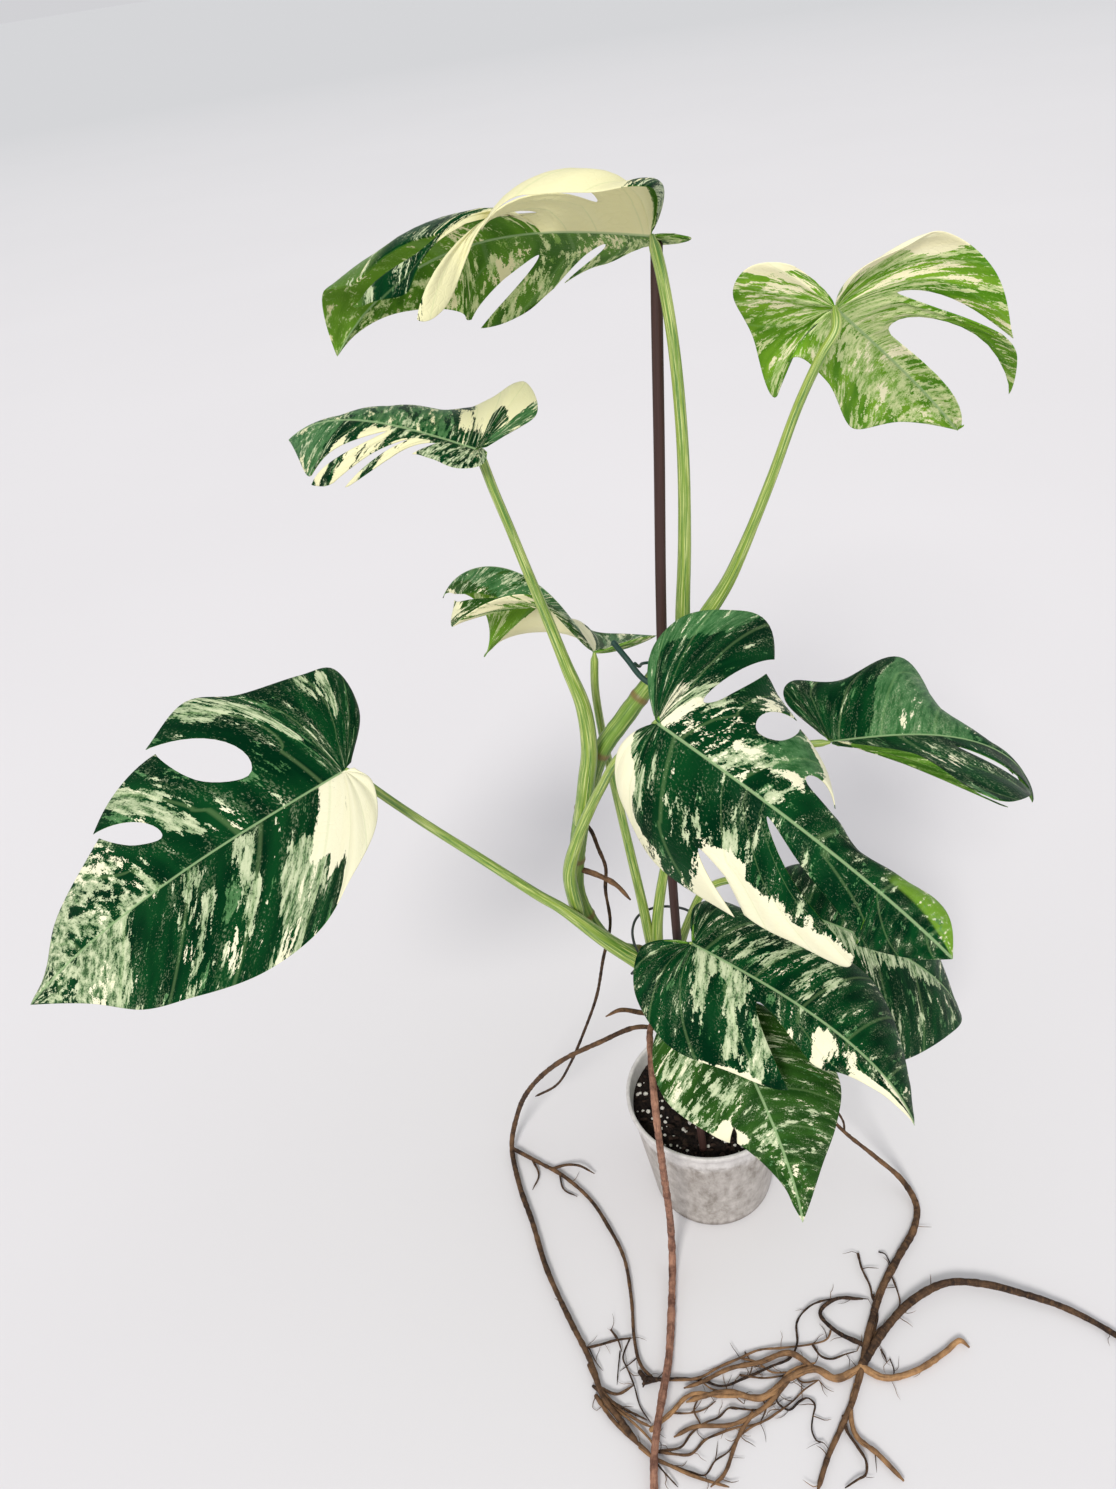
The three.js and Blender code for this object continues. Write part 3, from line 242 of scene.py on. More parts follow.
# Roots by strand: shade (1 is tan, 0.5 brown and 0 near black), radii along the line, then its points
ROOTS = {
    'root_front': [
        (0.5, [2.4, 3, 3, 3.2, 3.3, 3.2, 2.9], [-30, -10, 208, -38, -26, 216, -41, -46, 216, -43, -64, 204,
         -44, -75, 180, -44, -79, 140, -43, -76, 80, -43, -66, 30, -45, -74, 9, -50, -98, 4, -59, -138, 4,
         -66, -160, 9, -74, -184, 12, -79, -200, 8, -82, -217, 4, -83, -236, 4])],
    'root_left': [
        (0.25, [2.4, 2.7, 2.8, 3, 2.9, 3], [-25, -5, 185, -44, 0, 188, -74, 8, 168, -105, 22, 136, -131, 38,
         92, -150, 56, 34, -159, 48, 6, -155, 12, 3.5, -147, -21, 3.5, -139, -60, 3.5, -125, -102, 3.5,
         -114, -131, 3.5, -108, -156, 3.5, -97, -175, 3.5, -88, -190, 3.5]),
        (0.3, [2.4, 2.2, 2, 1.8, 1.6], [-158, 46, 4.5, -137, 30, 3, -120, 16, 3, -100, -9, 3, -89, -33, 3,
         -80, -61, 3, -79, -93, 3, -81, -122, 3, -79, -140, 3, -70, -152, 2.5]),
        (0.2, [1.7, 1.5, 1.2], [-128, 23, 3, -116, 24, 4, -105, 20, 6, -94, 13, 3]),
        (0.2, [1.4, 1, 0.9], [-143, 34, 3, -139, 20, 2, -145, 8, 1.8]),
        (0.2, [1.4, 1, 0.9], [-122, 18, 3, -120, 4, 2, -110, -4, 1.8]),
        (0.3, [1.8, 1.5, 1.2], [-110, -150, 3, -98, -156, 2.5, -86, -152, 2.4])],
    'root_right': [
        (0.35, [1.8, 1.6, 1.6, 2, 3, 3.3, 3, 2.4, 2], [40, 10, 84, 48, 8, 104, 59, 2, 117, 71, -6, 108, 82,
         -12, 84, 98, -19, 58, 122, -26, 28, 140, -38, 10, 145, -55, 3.5, 137, -73, 3.5, 120, -91, 3.5, 99,
         -114, 3.5, 82, -140, 3.5, 70, -162, 3.5, 57, -183, 3, 43, -200, 2.6, 32, -213, 2.4, 20, -231,
         2.4]),
        (0.2, [1.3, 1.1, 0.9], [80, -11, 88, 90, -9, 81, 97, -8, 66, 102, -8, 52, 104, -8, 38, 108, -8,
         34]),
        (0.12, [3.3, 3.4, 3, 2.6, 2.2], [70, -162, 3.5, 92, -142, 4.5, 117, -126, 6, 145, -118, 7, 170,
         -123, 7, 191, -132, 6, 214, -144, 4.5, 230, -156, 3.5, 246, -172, 3]),
        (0.95, [3, 2.6, 2.4, 2.4, 1.8], [69, -163, 3.5, 82, -172, 3, 103, -171, 3, 127, -162, 3, 140, -156,
         3, 144, -161, 3]),
        (0.7, [2.2, 2, 1.8], [62, -174, 3, 54, -188, 2.6, 53, -204, 2.6, 63, -216, 2.6, 74, -233, 2.6]),
        (0.75, [2.8, 3, 2.6, 2.2, 1.8], [70, -163, 3.5, 50, -168, 3.5, 38, -160, 3.5, 20, -163, 3.5, -3,
         -173, 3.5, -22, -166, 3.5, -38, -166, 3.5, -52, -168, 3]),
        (0.6, [2.4, 2.2, 1.8, 1.5], [38, -160, 3.5, 24, -147, 3, 2, -150, 3, -19, -151, 3, -40, -157, 3,
         -52, -159, 3]),
        (0.0, [2, 1.6, 1.3], [76, -150, 3.5, 59, -137, 3, 52, -123, 2.5, 66, -115, 2.5, 84, -118, 2.5]),
        (0.6, [2.2, 1.8, 1.5], [20, -163, 3.5, 0, -178, 3, -24, -186, 2.8, -50, -184, 2.8, -64, -188, 2.6]),
        (0.5, [1.8, 1.5, 1.3], [-10, -181, 3, -24, -196, 2.6, -36, -214, 2.6, -46, -220, 2.4])],
    'root_thin': [
        (0.1, [1.6, 1.3, 1.3, 1.2, 1.1], [-64, 7, 378, -58, 13, 362, -55, 14, 346, -52, 13, 330, -54, 13,
         311, -54, 13, 279, -62, 13, 247, -70, 15, 210, -84, 20, 166, -98, 28, 124, -113, 46, 78, -132, 60,
         50])],
    'root_short': [
        (0.5, [2.2, 2, 1.6], [-67, 4, 339, -58, -2, 338, -48, -4, 330, -40, -5, 316])],
    'root_stub': [
        (0.5, [2.3, 2, 1.3], [-30, -8, 206, -42, -8, 212, -56, -9, 219, -66, -10, 216])],
}
# How much thinner a root looks than its solid
SLIMMER = {'root_left': 0.82}

# Fine strands of the tangle: shade, radius, then places in the picture, as x, y one after the other
FINE_ROOTS = [
    (0.0, 1.2, [643, 1384, 665, 1379, 700, 1380, 722, 1386, 745, 1378, 772, 1366, 790, 1358, 797, 1344, 797,
        1322, 810, 1306, 831, 1299, 853, 1298, 868, 1299]),
    (0.6, 1.2, [660, 1380, 698, 1378, 719, 1367, 740, 1358, 759, 1350, 781, 1348, 812, 1344, 827, 1339, 832,
        1327]),
    (0.1, 0.9, [812, 1344, 821, 1356, 831, 1359, 846, 1354, 857, 1351]),
    (0.9, 1.9, [651, 1430, 671, 1413, 688, 1396, 702, 1393, 719, 1396, 740, 1396, 763, 1396, 776, 1393, 781,
        1382, 789, 1372, 800, 1367, 815, 1363]),
    (0.3, 0.9, [740, 1375, 763, 1378, 781, 1376, 793, 1374, 802, 1382, 819, 1380]),
    (0.0, 0.9, [776, 1395, 778, 1403, 789, 1410, 800, 1401, 808, 1398, 815, 1405, 813, 1416, 812, 1431, 817,
        1441, 823, 1442]),
    (0.5, 0.9, [740, 1435, 755, 1425, 770, 1418, 781, 1410, 793, 1401, 804, 1390, 819, 1380]),
    (0.4, 1.1, [655, 1451, 674, 1454, 691, 1454, 705, 1440, 718, 1434, 735, 1428, 760, 1423, 781, 1410]),
    (0.2, 1.0, [660, 1451, 681, 1447, 691, 1434, 705, 1423, 719, 1417, 729, 1408, 743, 1409, 760, 1410, 776,
        1403]),
    (0.1, 0.8, [671, 1465, 691, 1472, 705, 1475, 715, 1461, 729, 1451, 739, 1434, 749, 1417]),
    (0.7, 1.6, [640, 1447, 654, 1458, 671, 1466, 691, 1475, 712, 1482, 729, 1487]),
    (0.1, 0.8, [650, 1455, 664, 1472, 678, 1487]),
    (0.5, 1.7, [589, 1365, 599, 1386, 616, 1406, 637, 1420, 651, 1427]),
    (0.1, 1.2, [593, 1386, 610, 1400, 627, 1410, 647, 1420]),
    (0.5, 1.8, [596, 1396, 613, 1420, 630, 1437, 647, 1451, 654, 1460]),
    (0.8, 1.2, [606, 1403, 630, 1420, 651, 1441, 657, 1454]),
    (0.1, 1.3, [586, 1348, 599, 1345, 617, 1340, 632, 1338]),
    (0.1, 1.1, [611, 1330, 618, 1340, 622, 1352]),
    (0.0, 0.8, [630, 1338, 623, 1358, 627, 1368, 634, 1385, 640, 1406, 651, 1423]),
    (0.0, 0.6, [620, 1351, 618, 1371, 617, 1385]),
    (0.1, 0.6, [589, 1348, 596, 1362, 603, 1371]),
    (0.1, 0.6, [637, 1358, 627, 1366, 620, 1371]),
    (0.0, 2.2, [640, 1372, 645, 1380, 643, 1387]),
    (0.0, 1.8, [643, 1378, 656, 1379, 668, 1379]),
    (0.1, 1.1, [858, 1254, 862, 1269, 870, 1286, 872, 1299]),
    (0.0, 0.6, [879, 1252, 885, 1254, 889, 1261, 893, 1271]),
    (0.2, 0.9, [890, 1273, 896, 1287, 900, 1303, 896, 1312]),
    (0.1, 1.3, [873, 1295, 877, 1318, 873, 1337, 872, 1348]),
    (0.4, 1.1, [872, 1341, 879, 1329, 890, 1322, 898, 1316]),
    (0.0, 0.9, [881, 1350, 885, 1357, 887, 1363]),
    (0.1, 0.6, [890, 1359, 894, 1371, 892, 1382]),
    (0.1, 1.3, [843, 1416, 847, 1431, 857, 1446, 866, 1461, 866, 1474, 857, 1480, 845, 1488]),
    (0.6, 0.7, [700, 1380, 712, 1389, 728, 1392, 744, 1404]),
    (0.3, 0.7, [745, 1352, 752, 1366, 748, 1378]),
    (0.5, 0.8, [671, 1413, 690, 1413, 705, 1409, 716, 1401]),
    (0.2, 0.7, [760, 1396, 766, 1408, 760, 1423]),
    (0.6, 1.0, [740, 1358, 756, 1362, 772, 1372, 789, 1372]),
    (0.2, 0.8, [700, 1423, 694, 1410, 702, 1393]),
]

# Marbling of each leaf, as overall amounts of cream and sage, then patches by colour and side (1 left,
# -1 right). Each patch, in percent: first and last place on the rim scale, first and last share of the
# width, amount.
MARKS = {
    'leaf_low_left': (-0.8, -0.62, {
        ('cream', 1): [(-10, 40, -10, 130, 200), (38, 52.5, -10, 50, 160), (38, 48, 40, 68, 160), (50.5,
          54.5, 55, 110, 30), (61.2, 62.8, 45, 90, 50), (69.8, 71.2, 55, 80, 130), (83, 92, -10, 120, 35)],
        ('sage', 1): [(60.5, 63.2, 40, 95, 80), (50, 56, 30, 110, 90), (53, 56, 30, 75, 90), (62.5, 65, 3,
          40, 90), (66.5, 69, 30, 110, 100), (70.5, 73.5, 2, 50, 90), (82, 91.5, -10, 120, 120), (92, 98, 0,
          120, 70)],
        ('sage', -1): [(41, 44.5, 28, 75, 150), (42, 50, 72, 110, 80), (22, 25, 45, 95, 120), (27, 28.5, 60,
          100, 90), (60.5, 64.5, 15, 110, 110), (64, 65.5, 30, 50, 90), (70, 100, -10, 110, 80)],
        ('cream', -1): [(70, 80, 10, 100, 50)]}),
    'leaf_middle_front': (-0.85, -0.55, {
        ('moss', 1): [(-10, 16, 10, 120, 160), (10, 36, 74, 120, 160), (56, 62, 30, 90, 140)],
        ('sage', 1): [(45, 50, -10, 60, 50), (50, 64, -10, 50, 35)],
        ('cream', 1): [(36, 50, -10, 30, 80), (49, 62, -10, 42, 60), (50, 56, 40, 110, 50), (60, 62.5, 30,
          110, 100), (56, 64, 85, 120, 160), (80, 100, 50, 120, 40)],
        ('cream', -1): [(-10, 24, 42, 130, 190), (20, 31, 78, 130, 160), (35.5, 42, 45, 120, 160), (40, 63,
          78, 125, 220), (42, 60, 60, 90, 75), (42, 46, 60, 110, 120)],
        ('sage', -1): [(10, 28, 30, 60, 90), (32, 42, 30, 70, 45)],
        ('lime', 1): [(80, 100, 30, 120, 100)]}),
    'leaf_middle_right': (-0.9, -0.85, {
        ('moss', 1): [(44, 62, -10, 120, 190)],
        ('sage', 1): [(10, 42, 20, 120, 20)],
        ('cream', -1): [(30, 50, 2, 30, 120)],
        ('sage', -1): [(10, 80, 10, 80, 25)]}),
    'leaf_top_right': (-0.55, -0.15, {
        ('cream', 1): [(5, 22, 80, 120, 170), (12, 30, 35, 75, 40), (75, 95, -10, 45, 15)],
        ('cream', -1): [(-10, 43, 68, 120, 200), (75, 95, -10, 50, 15)],
        ('sage', -1): [(-10, 43, 40, 72, 90), (50, 100, -10, 50, 50)],
        ('sage', 1): [(55, 95, -10, 55, 60)]}),
    'leaf_top_left': (-0.6, -0.35, {
        ('cream', 1): [(23.5, 63, -20, 130, 240), (62, 68, 90, 120, 100)],
        ('sage', 1): [(-10, 14, 20, 120, 60)],
        ('cream', -1): [(30, 60, 0, 50, 15)],
        ('sage', -1): [(10, 100, 20, 120, 30)],
        ('lime', 1): [(80, 100, -10, 120, 50)]}),
    'leaf_upper_left': (-0.6, -0.3, {
        ('cream', -1): [(20, 50, 50, 130, 190), (40, 56, 20, 70, 110)],
        ('moss', -1): [(2, 20, 20, 120, 120), (58, 100, 0, 120, 90)],
        ('cream', 1): [(45, 56, 30, 120, 150), (60, 68, 10, 120, 120), (72, 76, 30, 120, 110)],
        ('sage', 1): [(0, 42, 10, 120, 30)],
        ('moss', 1): [(82, 100, 0, 120, 150)]}),
    'leaf_small_left': (-0.6, -0.25, {
        ('moss', 1): [(30, 100, -10, 45, 90)],
        ('cream', 1): [(40, 95, 42, 56, 20), (40, 95, 80, 120, 75)],
        ('cream', -1): [(36, 60, -20, 130, 220), (0, 25, 30, 120, 20)],
        ('moss', -1): [(0, 28, 0, 120, 60)],
        ('lime', -1): [(61, 100, -10, 120, 70)]}),
    'leaf_low_front': (-0.8, -0.6, {
        ('sage', -1): [(38.5, 41, 5, 70, 120), (44, 47, 10, 90, 110), (38, 47, 0, 15, 100), (48.5, 51.5, 30,
          110, 100)],
        ('cream', -1): [(41, 43, 55, 75, 50), (60, 65.5, 10, 110, 105), (66, 72, 0, 110, 50), (72, 100, 60,
          120, 180), (77, 95, -10, 40, 120), (40, 52, 96, 120, 160)],
        ('sage', 1): [(40, 62, 10, 60, 45)]}),
    'leaf_low_right': (-0.85, -0.5, {
        ('sage', -1): [(30, 80, -10, 20, 100)],
        ('cream', 1): [(20, 90, 20, 100, 15)]}),
    'leaf_lowest': (-0.75, -0.5, {
        ('sage', -1): [(28, 50, 30, 110, 50), (60, 80, 0, 50, 50)],
        ('cream', -1): [(30, 50, 30, 110, 15), (50, 60, 62, 120, 200), (94, 100, 0, 120, 130)],
        ('cream', 1): [(95, 100, 0, 120, 130)]}),
}
MOSS = -0.5
# How young and how yellow a leaf looks
FRESH = {'leaf_top_right': 0.8, 'leaf_small_left': 0.15, 'leaf_lowest': 0.12}
YELLOWER = {'leaf_top_left': 0.5, 'leaf_upper_left': 0.4, 'leaf_small_left': 0.2}
# Cream above, and cream below painted brighter as painted light shining through the thin blade
CREAM, CREAM_BELOW_GLOW = np.array([231, 227, 194]), np.array([240, 233, 190])
CREAM_PALE, CREAM_YELLOW = np.array([236, 234, 212]), np.array([220, 216, 158])

# The view: where the camera stands and which way it looks, in millimetres and in pixels of the picture
PITCH, ROLL = math.radians(35.8), math.radians(8.8)
EYE = np.array([-70.0, -517.0, 813.0])
LENS, SENSOR = 27.05, 36.0
WIDTH, HEIGHT = 1116, 1489
AHEAD = np.array([0, math.cos(PITCH), -math.sin(PITCH)])
DOWN = np.cross(AHEAD, [1, 0, 0])
ACROSS = np.array([1, 0, 0]) * math.cos(ROLL) + DOWN * math.sin(ROLL)
BELOW = DOWN * math.cos(ROLL) - np.array([1, 0, 0]) * math.sin(ROLL)


def on_floor(x, y, height):
    # The point at a height that shows at a place in the picture
    focal = HEIGHT * LENS / SENSOR
    sight = AHEAD * focal + ACROSS * (x - WIDTH / 2) + BELOW * (y - HEIGHT / 2)
    return EYE + sight * (height - EYE[2]) / sight[2]


# Small maths helpers
def mix(a, b, f):
    return a + (b - a) * f


def unit(v):
    return v / np.maximum(np.linalg.norm(v, axis=-1, keepdims=True), 1e-12)


def rotated(v, axis, angle):
    cos, sin = math.cos(angle), math.sin(angle)
    return v * cos + np.cross(axis, v) * sin + axis * (axis @ v) * (1 - cos)


def smooth(x):
    x = np.clip(x, 0, 1)
    return x * x * (3 - 2 * x)


def spline_at(points, u):
    # Catmull-Rom through flat points, with u from 0 to 1 spread evenly over them
    p = np.asarray(points, float)
    last = len(p) - 1
    p = np.vstack([2 * p[0] - p[1], p, 2 * p[-1] - p[-2]])
    x = np.clip(u, 0, 1) * last
    i = np.clip(x.astype(int), 0, last - 1)
    f = (x - i)[..., None]
    p0, p1, p2, p3 = p[i], p[i + 1], p[i + 2], p[i + 3]
    return 0.5 * (2 * p1 + (p2 - p0) * f + (2 * p0 - 5 * p1 + 4 * p2 - p3) * f ** 2
                  + (3 * p1 - p0 - 3 * p2 + p3) * f ** 3)


def steps_at(values, q):
    # Angles spread evenly from 0 to 1, eased from one to the next
    v = np.radians(values)
    x = np.clip(q, 0, 1) * (len(v) - 1)
    i = np.clip(x.astype(int), 0, len(v) - 2)
    return mix(v[i], v[i + 1], smooth(x - i))


class Spine:
    # The midrib of a leaf: a bent line with a side and an up direction at each step
    def __init__(self, leaf):
        T, S, N = np.eye(3)
        C, Ts, Ss, Ns = [np.zeros(3)], [T], [S], [N]
        for i in range(SPINE_STEPS):
            bend = math.radians(leaf.droop) * 2 * (i + 0.5) / SPINE_STEPS / SPINE_STEPS
            T, N = rotated(T, S, bend), rotated(N, S, bend)
            C.append(C[-1] + T / SPINE_STEPS)
            Ts.append(T)
            Ss.append(S)
            Ns.append(N)
        base, tip = np.array(leaf.base, float), np.array(leaf.tip, float)
        ahead = unit(tip - base)
        side = rotated(unit(np.cross([0, 0, 1], ahead)), ahead, math.radians(leaf.roll))
        along = unit(C[-1])
        sideways = np.array([0, 1, 0])
        from_axes = np.array([along, sideways, np.cross(along, sideways)])
        turn = np.array([ahead, side, np.cross(ahead, side)]).T @ from_axes
        self.length = np.linalg.norm(tip - base) / np.linalg.norm(C[-1])
        self.C = base + self.length * np.array(C) @ turn.T
        self.T, self.S, self.N = (np.array(v) @ turn.T for v in (Ts, Ss, Ns))

    def at(self, s, key):
        values = getattr(self, key)
        x = np.clip(np.asarray(s, float) / self.length, 0, 1) * SPINE_STEPS
        i = np.clip(x.astype(int), 0, SPINE_STEPS - 1)
        return mix(values[i], values[i + 1], (x - i)[..., None])

    def rib_start(self, rim):
        x = rim[..., 0] - SLANT * np.abs(rim[..., 1])
        return np.clip(0.5 * (x + np.hypot(x, RIB_SOFTNESS * self.length)), 0, self.length)


def blade_points(spine, half, sign, q, t):
    # Points of the blade: q runs along the rim from the base to the tip, t from the midrib to the rim
    rim = spline_at(np.reshape(half.rim, (-1, 2)), q)
    start = spine.rib_start(rim)
    begin = np.stack([start, 0 * start], -1)
    run = rim - begin
    bend = begin + run / 2 + RIB_CURVE * np.stack([-run[..., 1], run[..., 0]], -1)
    lift, curl = steps_at(half.lift, q), steps_at(half.curl, q)
    T, S, N = spine.at(start, 'T'), spine.at(start, 'S') * sign, spine.at(start, 'N')
    point = spine.at(start, 'C')

    def flat(u):
        u = u[..., None]
        return (1 - u) ** 2 * begin + 2 * u * (1 - u) * bend + u * u * rim

    for i in range(RIB_STEPS):
        u0, u1 = t * i / RIB_STEPS, t * (i + 1) / RIB_STEPS
        d = flat(u1) - flat(u0)
        slope = lift + curl * (u0 + u1) / 2
        point = point + np.cos(slope)[..., None] * (d[..., :1] * T + d[..., 1:] * S)
        point = point + (np.sin(slope) * np.linalg.norm(d, axis=-1))[..., None] * N
    return point, start


def cut_edge(cut, t, sign):
    # Where the edge of a cut runs: q at t, on the side of the cut that sign names
    inner, start, mouth, half_width, opening = cut
    x = np.clip((t - start) / (1 - start), 0, 1)
    closed = (1 - opening) * np.sin(np.pi * x ** CUT_SKEW) ** CUT_FULLNESS
    return mix(inner, mouth, x) + sign * half_width * (closed + opening * np.sqrt(x))


def half_columns(spine, half, sign):
    # One half of a blade as lobes, each a grid of columns from the base to the tip
    bounds = [None] + half.cuts + [None]
    lobes = []
    vein = 0
    for back, front in zip(bounds, bounds[1:]):
        near, far = back or front or UNCUT, front or back or UNCUT
        span = (front[2] if front else 1) - (back[2] if back else 0)
        count = max(LEAST_COLUMNS, round(span * COLUMNS))
        veins = max(1, round(span * VEINS))
        x = np.linspace(0, 1, count + 1)[:, None]
        split = mix(near[1], far[1], x)
        t = np.hstack([split * INNER_ROWS, mix(split, 1, OUTER_ROWS)])
        low = cut_edge(back, t, 1) if back else 0 * t
        high = cut_edge(front, t, -1) if front else 0 * t + 1
        q = mix(low, high, x)
        if back:
            t = t * (1 - CORNER * (1 - x) ** 4 * np.clip((t - split) / (1 - split) / CORNER_REACH, 0, 1))
        lobes.append((*blade_points(spine, half, sign, q, t), q, t, vein + veins * x + 0 * t))
        vein += veins
    return lobes


def patch(marks, colour, side, q, t):
    # How much of a colour the patches of one side ask for at a place on the blade
    amount = 0 * q
    for row in marks.get((colour, side), ()):
        q0, q1, t0, t1, strength = np.array(row) / PERCENT
        inside = smooth((q - q0) / PATCH_SIDE + 0.5) * smooth((q1 - q) / PATCH_SIDE + 0.5)
        inside = strength * inside * smooth((t - t0) / PATCH_END + 0.5)
        amount += inside * smooth((t1 - t) / PATCH_END + 0.5)
    return amount


def leaf_mesh(name):
    # Both halves of a blade, joined along the midrib
    leaf = LEAVES[name]
    cream, sage, marks = MARKS[name]
    colours = (('cream', cream), ('sage', sage), ('lime', 0), ('moss', MOSS))
    spine = Spine(leaf)
    points, facts, keys, triangles = [], [], {}, []

    def index(p, values):
        # Points less than about a micrometre apart are one
        key = tuple(np.round(p * MICROMETRES).astype(int))
        if key not in keys:
            keys[key] = len(points)
            points.append(p)
            facts.append(values)
        return keys[key]

    def add(a, b, c, sign):
        if a != b and b != c and a != c:
            triangles.append((a, b, c) if sign > 0 else (a, c, b))

    stations = np.linspace(0, spine.length, SPINE_STATIONS + 1)
    chain = [index(p, (s, s / spine.length, 0, 0, 0, cream, sage, 0, MOSS))
             for s, p in zip(stations, spine.at(stations, 'C'))]
    for half, sign in ((leaf.left, 1), (leaf.right, -1)):
        first = []
        for p, s, q, t, vein in half_columns(spine, half, sign):
            amounts = [overall + patch(marks, colour, sign, q, t) for colour, overall in colours]
            known = np.stack([s, q, t, sign + 0 * q, vein, *amounts], -1)
            grid = [[index(*place) for place in zip(*column)] for column in zip(p, known)]
            for a, b in zip(grid, grid[1:]):
                for r in range(len(a) - 1):
                    add(a[r], b[r], b[r + 1], sign)
                    add(a[r], b[r + 1], a[r + 1], sign)
            first += [(column[0], start) for column, start in zip(grid, s[:, 0])]
        i = j = 0
        while i < SPINE_STATIONS or j + 1 < len(first):
            next_spine = stations[i + 1] if i < SPINE_STATIONS else math.inf
            next_rib = first[j + 1][1] if j + 1 < len(first) else math.inf
            if next_spine < next_rib:
                add(chain[i], chain[i + 1], first[j][0], sign)
                i += 1
            else:
                add(chain[i], first[j + 1][0], first[j][0], sign)
                j += 1
    return thickened(spine, np.array(points), np.array(facts, float), np.array(triangles))


def thickened(spine, points, facts, triangles):
    # Gives the middle surface its thickness, its veins and a rounded rim
    a, b, c = (points[triangles[:, k]] for k in range(3))
    face = np.cross(b - a, c - a)
    normals = np.zeros_like(points)
    for k in range(3):
        np.add.at(normals, triangles[:, k], face)
    start, _, t, _, vein = facts[:, :5].T
    on_spine, up = spine.at(start, 'C'), spine.at(start, 'N')
    away = np.linalg.norm(points - on_spine, axis=1)
    free = np.clip(away / FOLD_WIDTH, 0, 1)[:, None]
    n = unit(mix(up, unit(normals), free))
    share = start / spine.length
    ridge = MIDRIB * np.minimum(1, 2 * share) * (1 - share) * np.exp(-(away / MIDRIB_WIDTH) ** 2)
    groove = GROOVE * np.exp(-(away / GROOVE_WIDTH) ** 2)
    edges = dict.fromkeys(
        (int(p0), int(p1)) for k in range(3) for p0, p1 in zip(triangles[:, k], triangles[:, (k + 1) % 3]))
    rim = [e for e in edges if (e[1], e[0]) not in edges]
    out = np.zeros_like(points)
    for p0, p1 in rim:
        d = np.cross(points[p1] - points[p0], n[p0])
        out[p0] += d
        out[p1] += d
    on_rim = np.array(sorted({k for e in rim for k in e}))
    inward = np.ones(len(points))
    inward[on_rim] = 0
    fade = smooth((1 - t) / RIM_FADE)
    quilt = -QUILT * np.cos(2 * np.pi * (vein - 0.5)) * smooth(away / QUILT_REACH) * fade * inward
    crease = CREASE * np.exp(-((vein % 1 - 0.5) / CREASE_WIDTH) ** 2)
    crease *= smooth(away / CREASE_REACH) * fade * inward
    half = BLADE / 2 * mix(RIM_THICKNESS, 1, smooth((1 - t) / RIM_WIDTH))
    top = points + n * (half + quilt - crease - groove)[:, None]
    under = points - n * (half - quilt + crease * CREASE_BELOW + ridge)[:, None]
    middle = points[on_rim] + unit(out[on_rim]) * RIM_BULGE
    count = len(points)
    place = {k: 2 * count + i for i, k in enumerate(on_rim)}
    faces = [tuple(f) for f in triangles.tolist()]
    faces += [(count + f[0], count + f[2], count + f[1]) for f in triangles.tolist()]
    for p0, p1 in rim:
        faces.append((p0, place[p0], place[p1], p1))
        faces.append((place[p0], p0 + count, p1 + count, place[p1]))
    every = np.vstack([facts, facts, facts[on_rim]])
    names = ('q', 't', 'side', 'vein', 'cream', 'sage', 'lime', 'moss')
    known = {name: every[:, i] for i, name in enumerate(names, 1)}
    known['away'] = np.concatenate([away, away, away[on_rim]])
    known['under'] = np.concatenate([np.zeros(count), np.ones(count), np.full(len(on_rim), 0.5)])
    return np.vstack([top, under, middle]), faces, known


# Tubes along smooth lines
def curve_through(points, spacing):
    # Centripetal Catmull-Rom, sampled evenly by length
    p = np.reshape(np.asarray(points, float), (-1, 3))
    p = np.vstack([2 * p[0] - p[1], p, 2 * p[-1] - p[-2]])
    line = []
    for i in range(1, len(p) - 2):
        p0, p1, p2, p3 = p[i - 1:i + 3]
        d0, d1, d2 = (max(np.linalg.norm(b - a) ** 0.5, 1e-4) for a, b in ((p0, p1), (p1, p2), (p2, p3)))
        m1 = ((p1 - p0) / d0 - (p2 - p0) / (d0 + d1) + (p2 - p1) / d1) * d1
        m2 = ((p2 - p1) / d1 - (p3 - p1) / (d1 + d2) + (p3 - p2) / d2) * d1
        f = np.linspace(0, 1, CURVE_SAMPLES, endpoint=False)[:, None]
        line.append(p1 + m1 * f + (3 * (p2 - p1) - 2 * m1 - m2) * f ** 2
                    + (2 * (p1 - p2) + m1 + m2) * f ** 3)
    line = np.vstack([*line, p[-2][None]])
    run = np.concatenate([[0], np.cumsum(np.linalg.norm(np.diff(line, axis=0), axis=1))])
    count = max(3, int(round(run[-1] / spacing)))
    even = np.linspace(0, run[-1], count + 1)
    return np.stack([np.interp(even, run, line[:, k]) for k in range(3)], 1), even


def around(sides):
    return np.arange(sides) / sides * TURN


def ring_faces(rings, sides):
    # Faces between rings of points, closed at both ends
    faces = []
    for i in range(rings - 1):
        for j in range(sides):
            k = (j + 1) % sides
            faces.append((i * sides + j, i * sides + k, (i + 1) * sides + k, (i + 1) * sides + j))
    faces.append(tuple(range(sides))[::-1])
    faces.append(tuple((rings - 1) * sides + j for j in range(sides)))
    return faces


